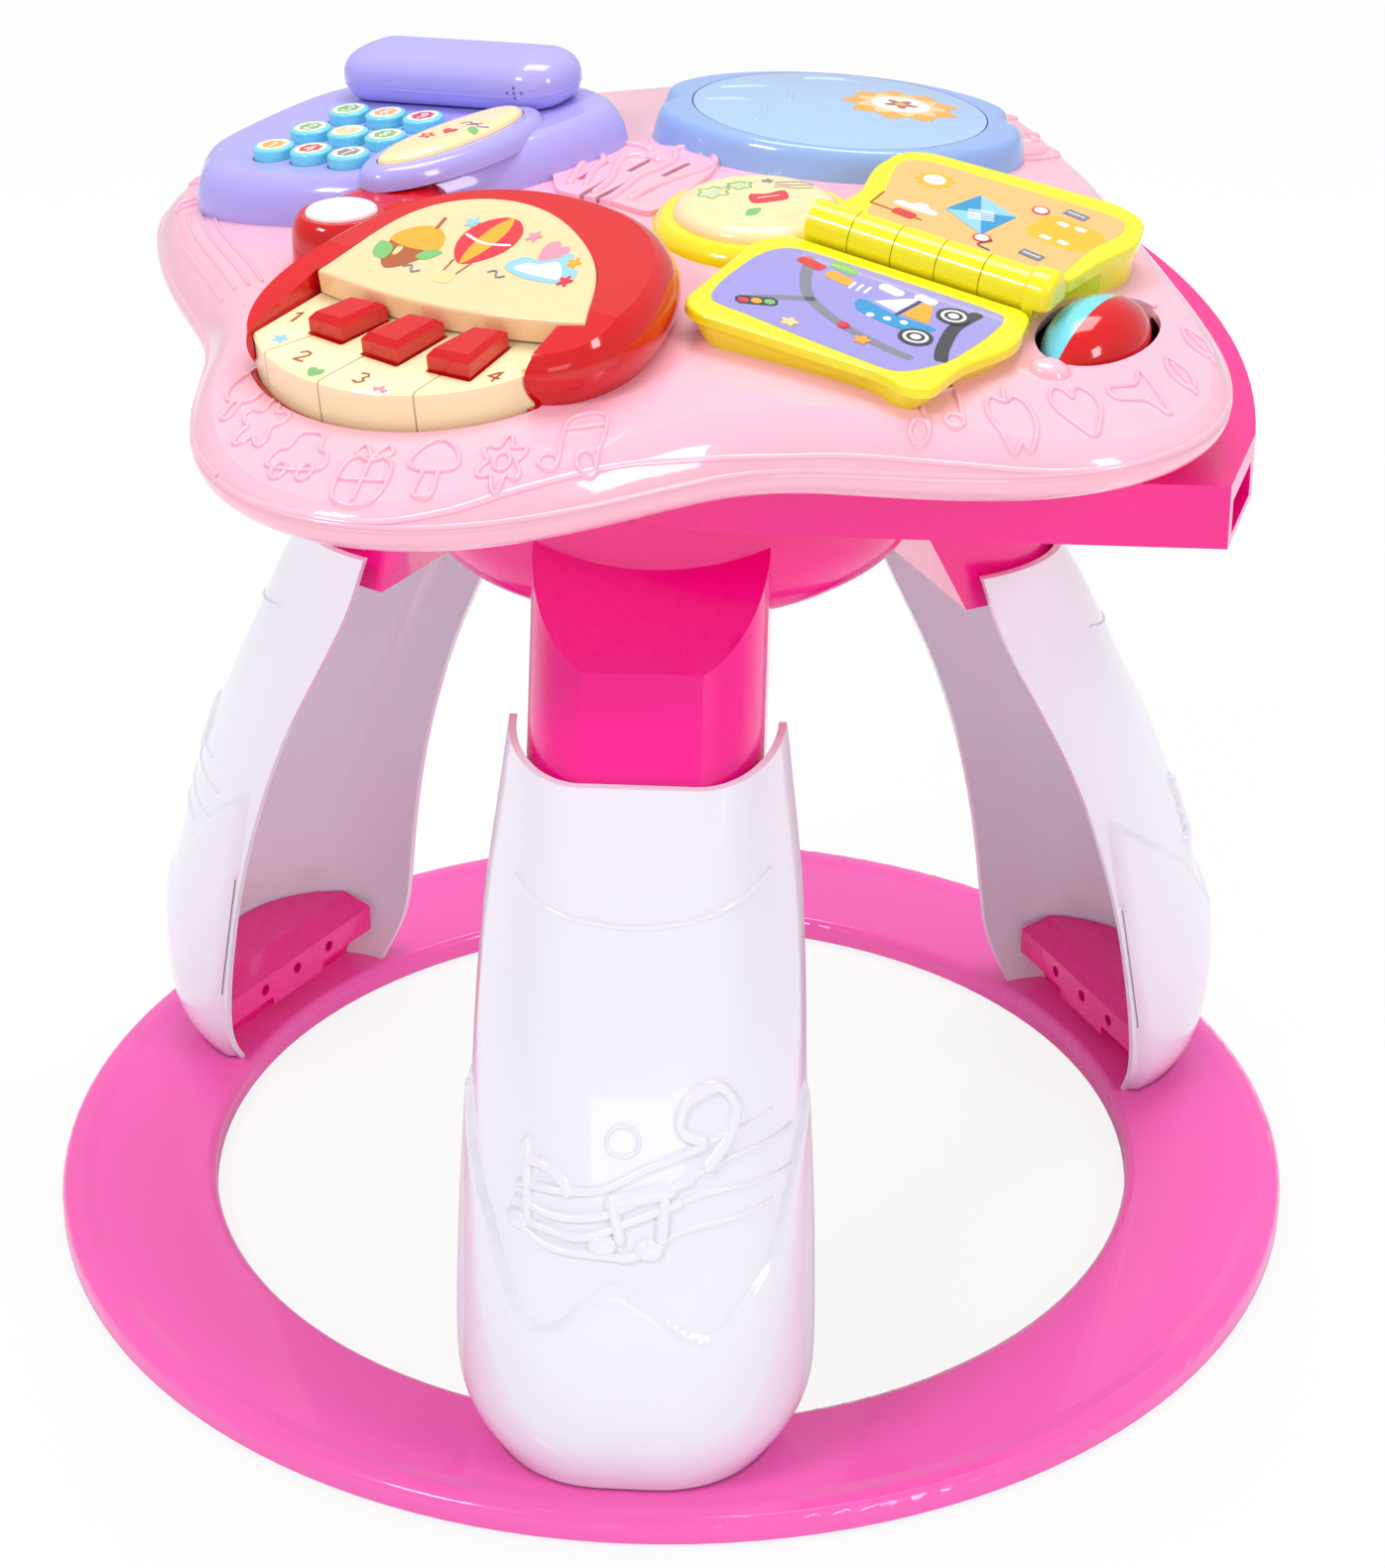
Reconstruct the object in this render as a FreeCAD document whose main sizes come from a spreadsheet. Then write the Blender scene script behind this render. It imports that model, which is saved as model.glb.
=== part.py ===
import FreeCAD, Part
import math
import os
from FreeCAD import Placement, Rotation, Vector

# Musical activity table: base ring, three legs, hub, swivel seat arm and a toy tray with four lobes.
# Frame: origin on the floor at the centre of the ring, +Z up, the front leg towards -Y.
# Lengths are millimetres and angles are degrees.

# Driving dimensions: alias, value, meaning
DIMENSIONS = [
    ("ring_radius", 250, "outer radius of the base ring"),
    ("ring_bore", 187, "inner radius of the base ring"),
    ("ring_top", 11, "height of the flat top of the ring"),
    ("ring_skin", 2.5, "thickness of the ring moulding"),
    ("pad_height", 3, "height of the rubber pads under the ring"),
    ("leg_wall", 3, "thickness of a leg"),
    ("leg_lean", 27, "lean of a leg at its top, from the vertical"),
    ("leg_rim", 266, "height of a leg's top rim at its outer side"),
    ("foot_top", 36.5, "height of the foot block inside a leg"),
    ("hub_radius", 98, "outer radius of the hub"),
    ("hub_bottom", 292, "height of the underside of the hub"),
    ("hub_rim", 341, "height of the rim that carries the swivel arm"),
    ("hub_wall", 3, "thickness of the hub"),
    ("socket_width", 43, "half width of a leg socket"),
    ("socket_front", 22, "half width of the flat front of a leg socket"),
    ("socket_depth", 55, "radial depth of a leg socket"),
    ("spindle_radius", 30, "outer radius of the spindle"),
    ("spindle_fit", 0.05, "radial running clearance of the arm on the spindle"),
    ("arm_gap", 0.3, "gap between the hub rim and the swivel arm"),
    ("arm_lower_height", 19.7, "height of the lower shell of the arm"),
    ("arm_cover_height", 4.8, "height of the cover of the arm"),
    ("arm_socket_width", 34, "width of a seat socket"),
    ("arm_socket_height", 13, "height of a seat socket"),
    ("arm_socket_depth", 44, "depth of a seat socket"),
    ("tray_floor", 367.5, "height of the underside of the tray"),
    ("tray_edge", 381, "height of the lower edge of the tray's side"),
    ("tray_parting", 388, "height of the line between the tray shells"),
    ("tray_wall", 3, "thickness of the tray shells"),
    ("tray_mean", 200, "mean radius of the tray outline"),
    ("tray_swell", 32, "swell of the lobes about the mean radius"),
    ("dome_top", 421, "height of the crown of the tray"),
    ("dome_radius", 1000, "radius of the crown of the tray"),
    ("lobe_reach", 125, "distance of a lobe's centre from the axis"),
    ("lobe_tilt", 7.2, "outward tilt of a lobe"),
    ("drum_radius", 57, "radius of the drum pad"),
    ("drum_rim", 9.5, "height of the drum base"),
    ("phone_height", 15, "height of the telephone base"),
    ("phone_key_radius", 8, "radius of a telephone key"),
    ("phone_key_rise", 4.5, "height of a telephone key above the base"),
    ("handset_length", 100, "length of the handset"),
    ("handset_width", 38, "width of the handset"),
    ("handset_height", 20, "height of the handset"),
    ("piano_height", 23, "height of the piano case"),
    ("panel_front", 22.3, "height of the front of the piano's picture panel"),
    ("panel_thick", 9.3, "thickness of the picture panel"),
    ("panel_slope", 3.4, "slope of the picture panel towards the keys"),
    ("white_key_top", 12, "height of the white keys"),
    ("red_key_top", 20, "height of the red keys"),
    ("key_gap", 0.6, "gap between neighbouring keys"),
    ("book_floor", 8, "height of the book's fixed leaves"),
    ("page_thick", 5, "thickness of the turning page"),
    ("spine_height", 11, "height of the spine axis"),
    ("spine_radius", 8.5, "radius of the spine knuckles"),
    ("spine_pin", 2.5, "radius of the hinge pin"),
    ("round_button_radius", 30, "radius of the round button"),
    ("knob_height", 16, "height of the lamp housing"),
    ("roller_radius", 17.5, "largest radius of the spin roller"),
    ("roller_length", 56, "length of the spin roller"),
    ("roller_pin", 2, "radius of the roller's axle"),
    ("screw_radius", 2, "radius of the screw shanks"),
    ("head_radius", 4, "radius of the screw heads"),
    ("head_height", 2.4, "height of the screw heads"),
]

# Leg sections from bottom to top: height, radius of the lip edges, radius of the outer face,
# half width and half width of the flat front
LEG_SECTIONS = [
    (11, 187, 229, 50, 10),
    (20, 185, 232.5, 57, 10),
    (30, 183, 236, 62, 10),
    (50, 180.7, 240, 64.5, 10),
    (75, 177.4, 240.3, 64.2, 10),
    (100, 172.9, 234.5, 63.5, 10),
    (140, 162.4, 221, 61.8, 11),
    (180, 147.5, 204.5, 60.2, 13),
    (220, 128, 184.7, 57, 16),
    (250, 115, 169.2, 53, 19),
    (285, 103, 151, 46.5, 22),
]
LEG_AZIMUTHS = {"front": -90, "right": 30, "left": 150}

# Azimuths of the four lobes of the tray
DRUM_LOBE = 60
PHONE_LOBE = 150
PIANO_LOBE = 240
BOOK_LOBE = 330

# The book is turned a little against its lobe
BOOK_TURN = 6.5

X = Vector(1, 0, 0)
Y = Vector(0, 1, 0)
Z = Vector(0, 0, 1)

doc = FreeCAD.newDocument("ActivityTable")
sheet = doc.addObject("Spreadsheet::Sheet", "Sizes")
for row, (alias, value, meaning) in enumerate(DIMENSIONS, start=1):
    sheet.set("A%d" % row, meaning)
    sheet.set("B%d" % row, str(value))
    sheet.setAlias("B%d" % row, alias)
doc.recompute()

nodes = []


def size(alias):
    return float(getattr(sheet, alias))


# Small helpers


def bind(item, prop, value):
    """Set a size from an expression on the sheet, or from a number."""
    if isinstance(value, str):
        item.setExpression(prop, value)
    else:
        setattr(item, prop, value)


def keep(item):
    """Mark an object as a sub-part that is written to its own file."""
    nodes.append(item)
    return item


def polar(radius, azimuth, height=0.0):
    angle = math.radians(azimuth)
    return Vector(radius * math.cos(angle), radius * math.sin(angle), height)


def at(x=0.0, y=0.0, z=0.0, rotation=None):
    return Placement(Vector(x, y, z), rotation or Rotation())


def dome_height(radius):
    ball = size("dome_radius")
    return size("dome_top") - ball + math.sqrt(ball * ball - radius * radius)


def lobe_frame(azimuth, turn=0.0):
    """Frame on a lobe: y points outwards down the slope and z is the lobe's normal."""
    reach = size("lobe_reach")
    base = polar(reach, azimuth, dome_height(reach))
    tilt = Rotation(Z, azimuth - 90) * Rotation(X, -size("lobe_tilt"))
    return Placement(base, tilt * Rotation(Z, turn))


# Outlines


def flat(x, y):
    return Vector(x, y, 0)


def smooth(points):
    """Closed smooth curve through the points."""
    curve = Part.BSplineCurve()
    count = len(points)
    steps = [i / count for i in range(count + 1)]
    curve.interpolate(Points=[flat(*p) for p in points], Parameters=steps, PeriodicFlag=True)
    return [curve]


def rounded(points, radii):
    """Closed outline of straight runs whose corners are tangent arcs."""
    count = len(points)
    if not isinstance(radii, (list, tuple)):
        radii = [radii] * count
    entries = []
    exits = []
    arcs = []
    for i, point in enumerate(points):
        corner = flat(*point)
        before = (flat(*points[i - 1]) - corner).normalize()
        after = (flat(*points[(i + 1) % count]) - corner).normalize()
        if radii[i] <= 0:
            entries.append(corner)
            exits.append(corner)
            continue
        half = before.getAngle(after) / 2
        run = radii[i] / math.tan(half)
        middle = (before + after).normalize()
        centre = corner + middle * (radii[i] / math.sin(half))
        start = corner + before * run
        end = corner + after * run
        entries.append(start)
        exits.append(end)
        arcs.append(Part.Arc(start, centre - middle * radii[i], end))
    lines = []
    for i in range(count):
        start = exits[i]
        end = entries[(i + 1) % count]
        if start.distanceToPoint(end) > 0.01:
            lines.append(Part.LineSegment(start, end))
    return lines + arcs


def rectangle(width, depth, radius=0.0, centre=(0, 0)):
    x, y = centre
    corners = [(x - width / 2, y - depth / 2), (x + width / 2, y - depth / 2),
               (x + width / 2, y + depth / 2), (x - width / 2, y + depth / 2)]
    return rounded(corners, radius)


def circle(radius, x=0.0, y=0.0):
    return [Part.Circle(flat(x, y), Z, radius)]


def oval(major, minor, x=0.0, y=0.0, turn=0.0):
    """Ellipse with its long axis turned from X."""
    angle = math.radians(turn)
    along = flat(math.cos(angle), math.sin(angle)) * major
    across = flat(-math.sin(angle), math.cos(angle)) * minor
    centre = flat(x, y)
    return [Part.Ellipse(centre + along, centre + across, centre)]


# Features


def new_body(label, placement=None):
    body = doc.addObject("PartDesign::Body", label)
    body.Label = label
    if placement:
        body.Placement = placement
    return body


def sketch(body, curves, height=0.0, role="XY_Plane"):
    plane = [item for item in body.Origin.OriginFeatures if item.Role == role][0]
    profile = body.newObject("Sketcher::SketchObject", body.Label + "_outline")
    profile.AttachmentSupport = [(plane, "")]
    profile.MapMode = "FlatFace"
    profile.AttachmentOffset = at(z=height)
    profile.addGeometry(curves, False)
    return profile


def pad(body, curves, height, length):
    """Extrude an outline upwards from a height."""
    item = body.newObject("PartDesign::Pad", body.Label + "_pad")
    item.Profile = sketch(body, curves, height)
    bind(item, "Length", length)
    return item


def pocket(body, curves, height, length):
    """Cut an outline downwards from a height."""
    item = body.newObject("PartDesign::Pocket", body.Label + "_pocket")
    item.Profile = sketch(body, curves, height)
    bind(item, "Length", length)
    return item


def revolve(body, curves):
    """Turn an outline in the XZ plane about the body's Z axis."""
    item = body.newObject("PartDesign::Revolution", body.Label + "_turned")
    profile = sketch(body, curves, role="XZ_Plane")
    item.Profile = profile
    item.ReferenceAxis = (profile, ["V_Axis"])
    item.Angle = 360
    return item


def loft(body, outlines, straight=False):
    """Loft through outlines given as (height, curves), smooth or straight between them."""
    item = body.newObject("PartDesign::AdditiveLoft", body.Label + "_loft")
    profiles = [sketch(body, curves, height) for height, curves in outlines]
    item.Profile = profiles[0]
    item.Sections = profiles[1:]
    item.Ruled = straight
    return item


def round_edges(body, radius, low, high):
    """Round the level edges of the body that lie between two heights."""
    doc.recompute()
    base = body.Tip
    names = []
    for number, edge in enumerate(base.Shape.Edges, start=1):
        box = edge.BoundBox
        if box.ZMin > low and box.ZMax < high:
            names.append("Edge%d" % number)
    item = body.newObject("PartDesign::Fillet", body.Label + "_fillet")
    item.Base = (base, names)
    item.Radius = radius
    return item


def simple_pad(label, curves, height, length, placement=None):
    body = new_body(label, placement)
    pad(body, curves, height, length)
    return body


def cut(label, base, *tools):
    item = base
    for number, tool in enumerate(tools):
        last = number == len(tools) - 1
        step = doc.addObject("Part::Cut", label if last else label + "_step")
        step.Base = item
        step.Tool = tool
        step.Label = label if last else "%s_step_%d" % (label, number)
        item = step
    return item


def fuse(label, *shapes):
    item = doc.addObject("Part::MultiFuse", label)
    item.Shapes = list(shapes)
    item.Label = label
    return item


def common(label, *shapes):
    item = doc.addObject("Part::MultiCommon", label)
    item.Shapes = list(shapes)
    item.Label = label
    return item


def group(label, items, placement=None):
    item = doc.addObject("Part::Compound", label)
    item.Links = list(items)
    item.Label = label
    if placement:
        item.Placement = placement
    return item


def cylinder(label, radius, height, placement):
    item = doc.addObject("Part::Cylinder", label)
    item.Label = label
    bind(item, "Radius", radius)
    bind(item, "Height", height)
    item.Placement = placement
    return item


def block(label, length, width, height, placement):
    """Box whose placement is the middle of its lower face."""
    item = doc.addObject("Part::Box", label)
    item.Label = label
    bind(item, "Length", length)
    bind(item, "Width", width)
    bind(item, "Height", height)
    doc.recompute()
    shift = at(-item.Length.Value / 2, -item.Width.Value / 2)
    item.Placement = placement * shift
    return item


def screws(label, length, places):
    """Pan head screws: each place is the seat of the head, with the shank along its z."""
    parts = []
    for place in places:
        shank = cylinder(label + "_shank", "Sizes.screw_radius", length, place)
        head = cylinder(label + "_head", "Sizes.head_radius", "Sizes.head_height",
                        place * at(z=-size("head_height")))
        parts.append(fuse(label + "_one", shank, head))
    return keep(group(label, parts))


def screw_holes(label, length, places, radius=0.0):
    """Cylinders that clear the shanks of screws at the same places."""
    radius = radius or size("screw_radius") + 0.1
    holes = [cylinder(label + "_hole", radius, length, place * at(z=-0.5)) for place in places]
    return group(label, holes)


def around(azimuths, radius, height, rotation=None):
    return [Placement(polar(radius, a, height), rotation or Rotation()) for a in azimuths]


# Base ring

PAD_AZIMUTHS = [-60, 0, 60, 120, 180, 240]
FOOT_SCREW_RADIUS = 208
FOOT_SCREW_OFFSET = 22


def foot_screw_places(height):
    places = []
    for azimuth in LEG_AZIMUTHS.values():
        turned = Placement(Vector(), Rotation(Z, azimuth))
        for side in (-FOOT_SCREW_OFFSET, FOOT_SCREW_OFFSET):
            places.append(turned * at(FOOT_SCREW_RADIUS, side, height))
    return places


def base_ring():
    outer = size("ring_radius")
    bore = size("ring_bore")
    top = size("ring_top")
    skin = size("ring_skin")
    lip = top + 1
    hem = 1.5
    profile = [
        (outer - skin, hem), (outer, hem), (outer, lip - 1), (outer - 8, lip), (outer - 14, top),
        (bore, top), (bore, hem), (bore + skin, hem), (bore + skin, top - skin),
        (outer - skin, top - skin),
    ]
    radii = [0, 0, 4, 6, 6, 4, 0, 0, 1, 1]
    shell = new_body("ring_shell")
    revolve(shell, rounded(profile, radii))
    boss_radius = 12
    boss_height = top - skin + 0.5 - size("pad_height")
    middle = (outer + bore) / 2
    bosses = [cylinder("ring_boss", boss_radius, boss_height, place)
              for place in around(PAD_AZIMUTHS, middle, size("pad_height"))]
    body = fuse("ring_with_bosses", shell, *bosses)
    holes = screw_holes("ring_holes", 10, foot_screw_places(top - skin))
    keep(cut("base_ring", body, holes))
    pads = [cylinder("ring_pad", 10, "Sizes.pad_height", place)
            for place in around(PAD_AZIMUTHS, middle, 0)]
    keep(group("ring_pads", pads))
    screws("foot_screws", 20, foot_screw_places(top - skin))


# Legs


def leg_section(row, inset, back=None, extend=0.0):
    """Section of a leg in plan, pointing along X: flat front, quarter ellipses and a back line."""
    height, lip, outer, width, front = row
    reach = outer - inset - lip
    side = width - inset - front
    back = lip if back is None else back
    start = math.asin(max(0.0, back - lip) / reach) if back > lip else 0.0
    shape = Part.Ellipse(flat(lip + reach, front), flat(lip, front + side), flat(lip, front))
    if reach < side:
        raise ValueError("leg section is wider than it is deep")
    quarter = math.pi / 2
    left = Part.ArcOfEllipse(shape, 0, quarter - start)
    other = Part.Ellipse(flat(lip + reach, -front), flat(lip, -front + side), flat(lip, -front))
    right = Part.ArcOfEllipse(other, -(quarter - start), 0)
    left_end = left.EndPoint
    right_end = right.StartPoint
    curves = [left, Part.LineSegment(left.StartPoint, right.EndPoint), right]
    if extend:
        inner = flat(back - extend, left_end.y)
        inner_low = flat(back - extend, right_end.y)
        curves.append(Part.LineSegment(left_end, inner))
        curves.append(Part.LineSegment(inner, inner_low))
        curves.append(Part.LineSegment(inner_low, right_end))
    else:
        curves.append(Part.LineSegment(left_end, right_end))
    return curves


def leg_row(height):
    """Section values at a height, by straight interpolation."""
    for low, high in zip(LEG_SECTIONS, LEG_SECTIONS[1:]):
        if low[0] <= height <= high[0]:
            part = (height - low[0]) / (high[0] - low[0])
            return tuple(a + (b - a) * part for a, b in zip(low, high))
    raise ValueError("height is outside the leg")


WEB_HEIGHT = 246
WEB_THICK = 3
LEG_SCREW_RADIUS = 148
LEG_SCREW_OFFSET = 22


def leg_screw_places(azimuth):
    turned = Placement(Vector(), Rotation(Z, azimuth))
    return [turned * at(LEG_SCREW_RADIUS, side, WEB_HEIGHT)
            for side in (-LEG_SCREW_OFFSET, LEG_SCREW_OFFSET)]


def legs():
    wall = size("leg_wall")
    shell = new_body("leg_shell")
    loft(shell, [(row[0], leg_section(row, 0)) for row in LEG_SECTIONS])
    hollow_rows = [(row[0] - 1 if row is LEG_SECTIONS[0] else row[0],
                    leg_section(row, wall, extend=40)) for row in LEG_SECTIONS]
    hollow_rows[-1] = (LEG_SECTIONS[-1][0] + 1, hollow_rows[-1][1])
    hollow = new_body("leg_hollow")
    loft(hollow, hollow_rows)
    web_section = leg_section(leg_row(WEB_HEIGHT + WEB_THICK), wall / 2, back=135)
    web = simple_pad("leg_web", web_section, WEB_HEIGHT, WEB_THICK)
    body = fuse("leg_with_web", cut("leg_channel", shell, hollow), web)
    # The rim falls gently outwards
    rim_slope = 2.5
    above = block("leg_rim_cut", 200, 200, 60, Placement(Vector(158, 0, size("leg_rim")),
                                                         Rotation(Y, rim_slope)))
    holes = screw_holes("leg_holes", 5, leg_screw_places(0))
    # The same moulding is used three times
    leg = cut("leg_moulding", body, above, holes)
    for name, azimuth in LEG_AZIMUTHS.items():
        keep(group("leg_" + name, [leg], Placement(Vector(), Rotation(Z, azimuth))))
    places = [place for azimuth in LEG_AZIMUTHS.values() for place in leg_screw_places(azimuth)]
    screws("leg_screws", 16, places)


def foot_blocks():
    gap = 0.4
    face = 195.5
    half_width = 51.5
    step = 13.3
    slope = 12.5
    recess_top = 22
    recess_depth = 8
    top = size("foot_top")
    heights = [size("ring_top"), 20, 30, top]
    rows = [leg_row(height) for height in heights]
    body = new_body("foot_solid")
    loft(body, [(row[0], leg_section(row, size("leg_wall") + gap, back=face)) for row in rows])
    hole_height = 27.8
    hole_radius = 2.5
    holes = [cylinder("foot_hole", hole_radius, 12, at(face - 2, side, hole_height, Rotation(Y, 90)))
             for side in (-22, 0, 22)]
    chamfer = block("foot_slope", 60, 140, 30,
                    Placement(Vector(face + step, 0, top), Rotation(Y, -slope)) * at(-30, 0, 0))
    ring_top = size("ring_top")
    recess = block("foot_recess", 2 * recess_depth, 140, recess_top - ring_top, at(face, 0, ring_top))
    tongue = block("foot_tongue", recess_depth + 2, 34, 4,
                   at(face + recess_depth / 2 + 1, 0, recess_top - 4))
    narrow = block("foot_width", 120, 2 * half_width, 60, at(face, 0, 0))
    drilled = cut("foot_drilled", common("foot_narrow", body, narrow), chamfer, recess, *holes)
    front_screws = [Placement(Vector(), Rotation(Z, 90)) * place
                    for place in foot_screw_places(ring_top)[:2]]
    bores = screw_holes("foot_bores", 19, front_screws, size("screw_radius"))
    foot = cut("foot_moulding", fuse("foot_stepped", drilled, tongue), bores)
    for name, azimuth in LEG_AZIMUTHS.items():
        keep(group("foot_block_" + name, [foot], Placement(Vector(), Rotation(Z, azimuth))))


# Hub and spindle


def socket_outline(front, inset):
    """Plan of a leg socket: flat front, curved shoulders and straight sides, pointing along X."""
    wide = size("socket_width") - inset
    narrow = size("socket_front") - inset / 2
    tip = front - inset
    back = front - size("socket_depth") + inset
    shoulder = 34
    mid_x = tip - 0.36 * shoulder
    mid_y = narrow + 0.66 * (wide - narrow)
    left = Part.Arc(flat(tip, narrow), flat(mid_x, mid_y), flat(tip - shoulder, wide))
    right = Part.Arc(flat(tip - shoulder, -wide), flat(mid_x, -mid_y), flat(tip, -narrow))
    return [
        left,
        Part.LineSegment(flat(tip - shoulder, wide), flat(back, wide)),
        Part.LineSegment(flat(back, wide), flat(back, -wide)),
        Part.LineSegment(flat(back, -wide), flat(tip - shoulder, -wide)),
        right,
        Part.LineSegment(flat(tip, -narrow), flat(tip, narrow)),
    ]


SOCKET_BOTTOM = 252
SOCKET_REACH = 155
SOCKET_TOP = (140, 299)
SOCKET_TOP_SLOPE = 28.7
SPINDLE_SCREW_RADIUS = 40


def leaning_prism(label, inset, bottom, top):
    """Socket outline swept along the lean of the leg between two heights."""
    rim = size("leg_rim")
    slope = math.tan(math.radians(size("leg_lean")))
    front = SOCKET_REACH + slope * (rim - bottom)
    body = new_body(label)
    shift = slope * (top - bottom)
    loft(body, [(bottom, socket_outline(front, inset)), (top, socket_outline(front - shift, inset))])
    return body


def socket_lid(label, drop):
    """Block above the sloping top face of a socket."""
    reach, height = SOCKET_TOP
    return block(label, 300, 200, 80, Placement(Vector(reach, 0, height - drop),
                                                Rotation(Y, SOCKET_TOP_SLOPE)))


def hub():
    radius = size("hub_radius")
    wall = size("hub_wall")
    low = size("hub_bottom")
    rim = size("hub_rim")
    curve = 25
    outside = new_body("hub_outside")
    revolve(outside, rounded([(0, low), (radius, low), (radius, rim), (0, rim)], [0, curve, 0, 0]))
    inside = new_body("hub_inside")
    revolve(inside, rounded([(0, low + wall), (radius - wall, low + wall), (radius - wall, rim + 5),
                             (0, rim + 5)], [0, curve - wall, 0, 0]))
    solid = cut("socket_solid", leaning_prism("socket_outside", 0, SOCKET_BOTTOM, 335),
                socket_lid("socket_lid", 0))
    hollow = cut("socket_hollow", leaning_prism("socket_inside", wall, SOCKET_BOTTOM + wall, 330),
                 socket_lid("socket_inner_lid", wall * 1.2))
    bores = screw_holes("socket_bores", 17, leg_screw_places(0), size("screw_radius"))
    bosses = [cylinder("socket_boss", 5, 14, place * at(z=WEB_THICK + SOCKET_BOTTOM - WEB_HEIGHT - 3))
              for place in leg_screw_places(0)]
    turns = [Placement(Vector(), Rotation(Z, azimuth)) for azimuth in LEG_AZIMUTHS.values()]
    solids = [group("socket_solid_turned", [solid], turn) for turn in turns]
    hollows = [group("socket_hollow_turned", [hollow], turn) for turn in turns]
    boss_sets = [group("socket_boss_turned", bosses, turn) for turn in turns]
    bore_sets = [group("socket_bore_turned", [bores], turn) for turn in turns]
    blank = fuse("hub_blank", outside, *solids)
    shell = cut("hub_shell", blank, inside, *hollows)
    with_bosses = fuse("hub_with_bosses", shell, *boss_sets)
    seats = around([0, 120, 240], SPINDLE_SCREW_RADIUS, low)
    holes = screw_holes("hub_holes", 8, seats)
    keep(cut("hub", with_bosses, *bore_sets, holes))
    screws("spindle_screws", 9, seats)


def spindle():
    radius = size("spindle_radius")
    wall = 4
    flange = radius + 18
    flange_height = 7
    low = size("hub_bottom") + size("hub_wall")
    top = size("tray_floor")
    bore = radius - wall
    body = new_body("spindle_turned")
    revolve(body, rounded([(bore, low), (flange, low), (flange, low + flange_height),
                           (radius, low + flange_height), (radius, top), (bore, top)],
                          [0, 0, 2, 3, 0, 0]))
    seats = around([0, 120, 240], SPINDLE_SCREW_RADIUS, size("hub_bottom"))
    keep(cut("spindle", body, screw_holes("spindle_holes", 9.6, seats, size("screw_radius"))))


# Swivel arm that carries the seat

ARM_AZIMUTH = 18
ARM_CORNER = (205, -107)
ARM_CORNER_OUT = (215.4, -62)
ARM_REACH = 210
ARM_SHOULDER = (40, -106.5)
ARM_SHOULDER_MIDDLE = (15, -104)
ARM_ROOT = (-7, -97.7)


def mirrored(point):
    """Mirror a point in plan across the arm's centre line."""
    twice = math.radians(2 * ARM_AZIMUTH)
    x, y = point
    return (x * math.cos(twice) + y * math.sin(twice), x * math.sin(twice) - y * math.cos(twice))


def arm_outline():
    near = [flat(*p) for p in (ARM_ROOT, ARM_SHOULDER_MIDDLE, ARM_SHOULDER, ARM_CORNER, ARM_CORNER_OUT)]
    far = [flat(*mirrored(p)) for p in (ARM_ROOT, ARM_SHOULDER_MIDDLE, ARM_SHOULDER, ARM_CORNER,
                                        ARM_CORNER_OUT)]
    tip = polar(ARM_REACH, ARM_AZIMUTH)
    heel = polar(size("hub_radius"), ARM_AZIMUTH + 180)
    return [
        Part.Arc(near[0], near[1], near[2]),
        Part.LineSegment(near[2], near[3]),
        Part.LineSegment(near[3], near[4]),
        Part.Arc(near[4], tip, far[4]),
        Part.LineSegment(far[4], far[3]),
        Part.LineSegment(far[3], far[2]),
        Part.Arc(far[2], far[1], far[0]),
        Part.Arc(far[0], heel, near[0]),
    ]


def arm_sector(inner, outer, start, end):
    """Closed slot between two radii and two azimuths."""
    middle = (start + end) / 2
    return [
        Part.Arc(polar(inner, start), polar(inner, middle), polar(inner, end)),
        Part.LineSegment(polar(inner, end), polar(outer, end)),
        Part.Arc(polar(outer, end), polar(outer, middle), polar(outer, start)),
        Part.LineSegment(polar(outer, start), polar(inner, start)),
    ]


def seat_socket_frames(height):
    """Frames at the mouths of the two seat sockets, with x pointing out of the socket."""
    frames = []
    for a, b in ((ARM_CORNER, ARM_CORNER_OUT), (mirrored(ARM_CORNER), mirrored(ARM_CORNER_OUT))):
        start = flat(*a)
        end = flat(*b)
        middle = (start + end) * 0.5
        along = end - start
        outwards = flat(along.y, -along.x)
        if outwards.dot(middle) < 0:
            outwards = outwards * -1
        turn = math.degrees(math.atan2(outwards.y, outwards.x))
        frames.append(Placement(Vector(middle.x, middle.y, height), Rotation(Z, turn)))
    return frames


ARM_SCREWS = [(150, -5), (150, 41), (75, 110), (75, 200), (75, 290)]


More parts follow.
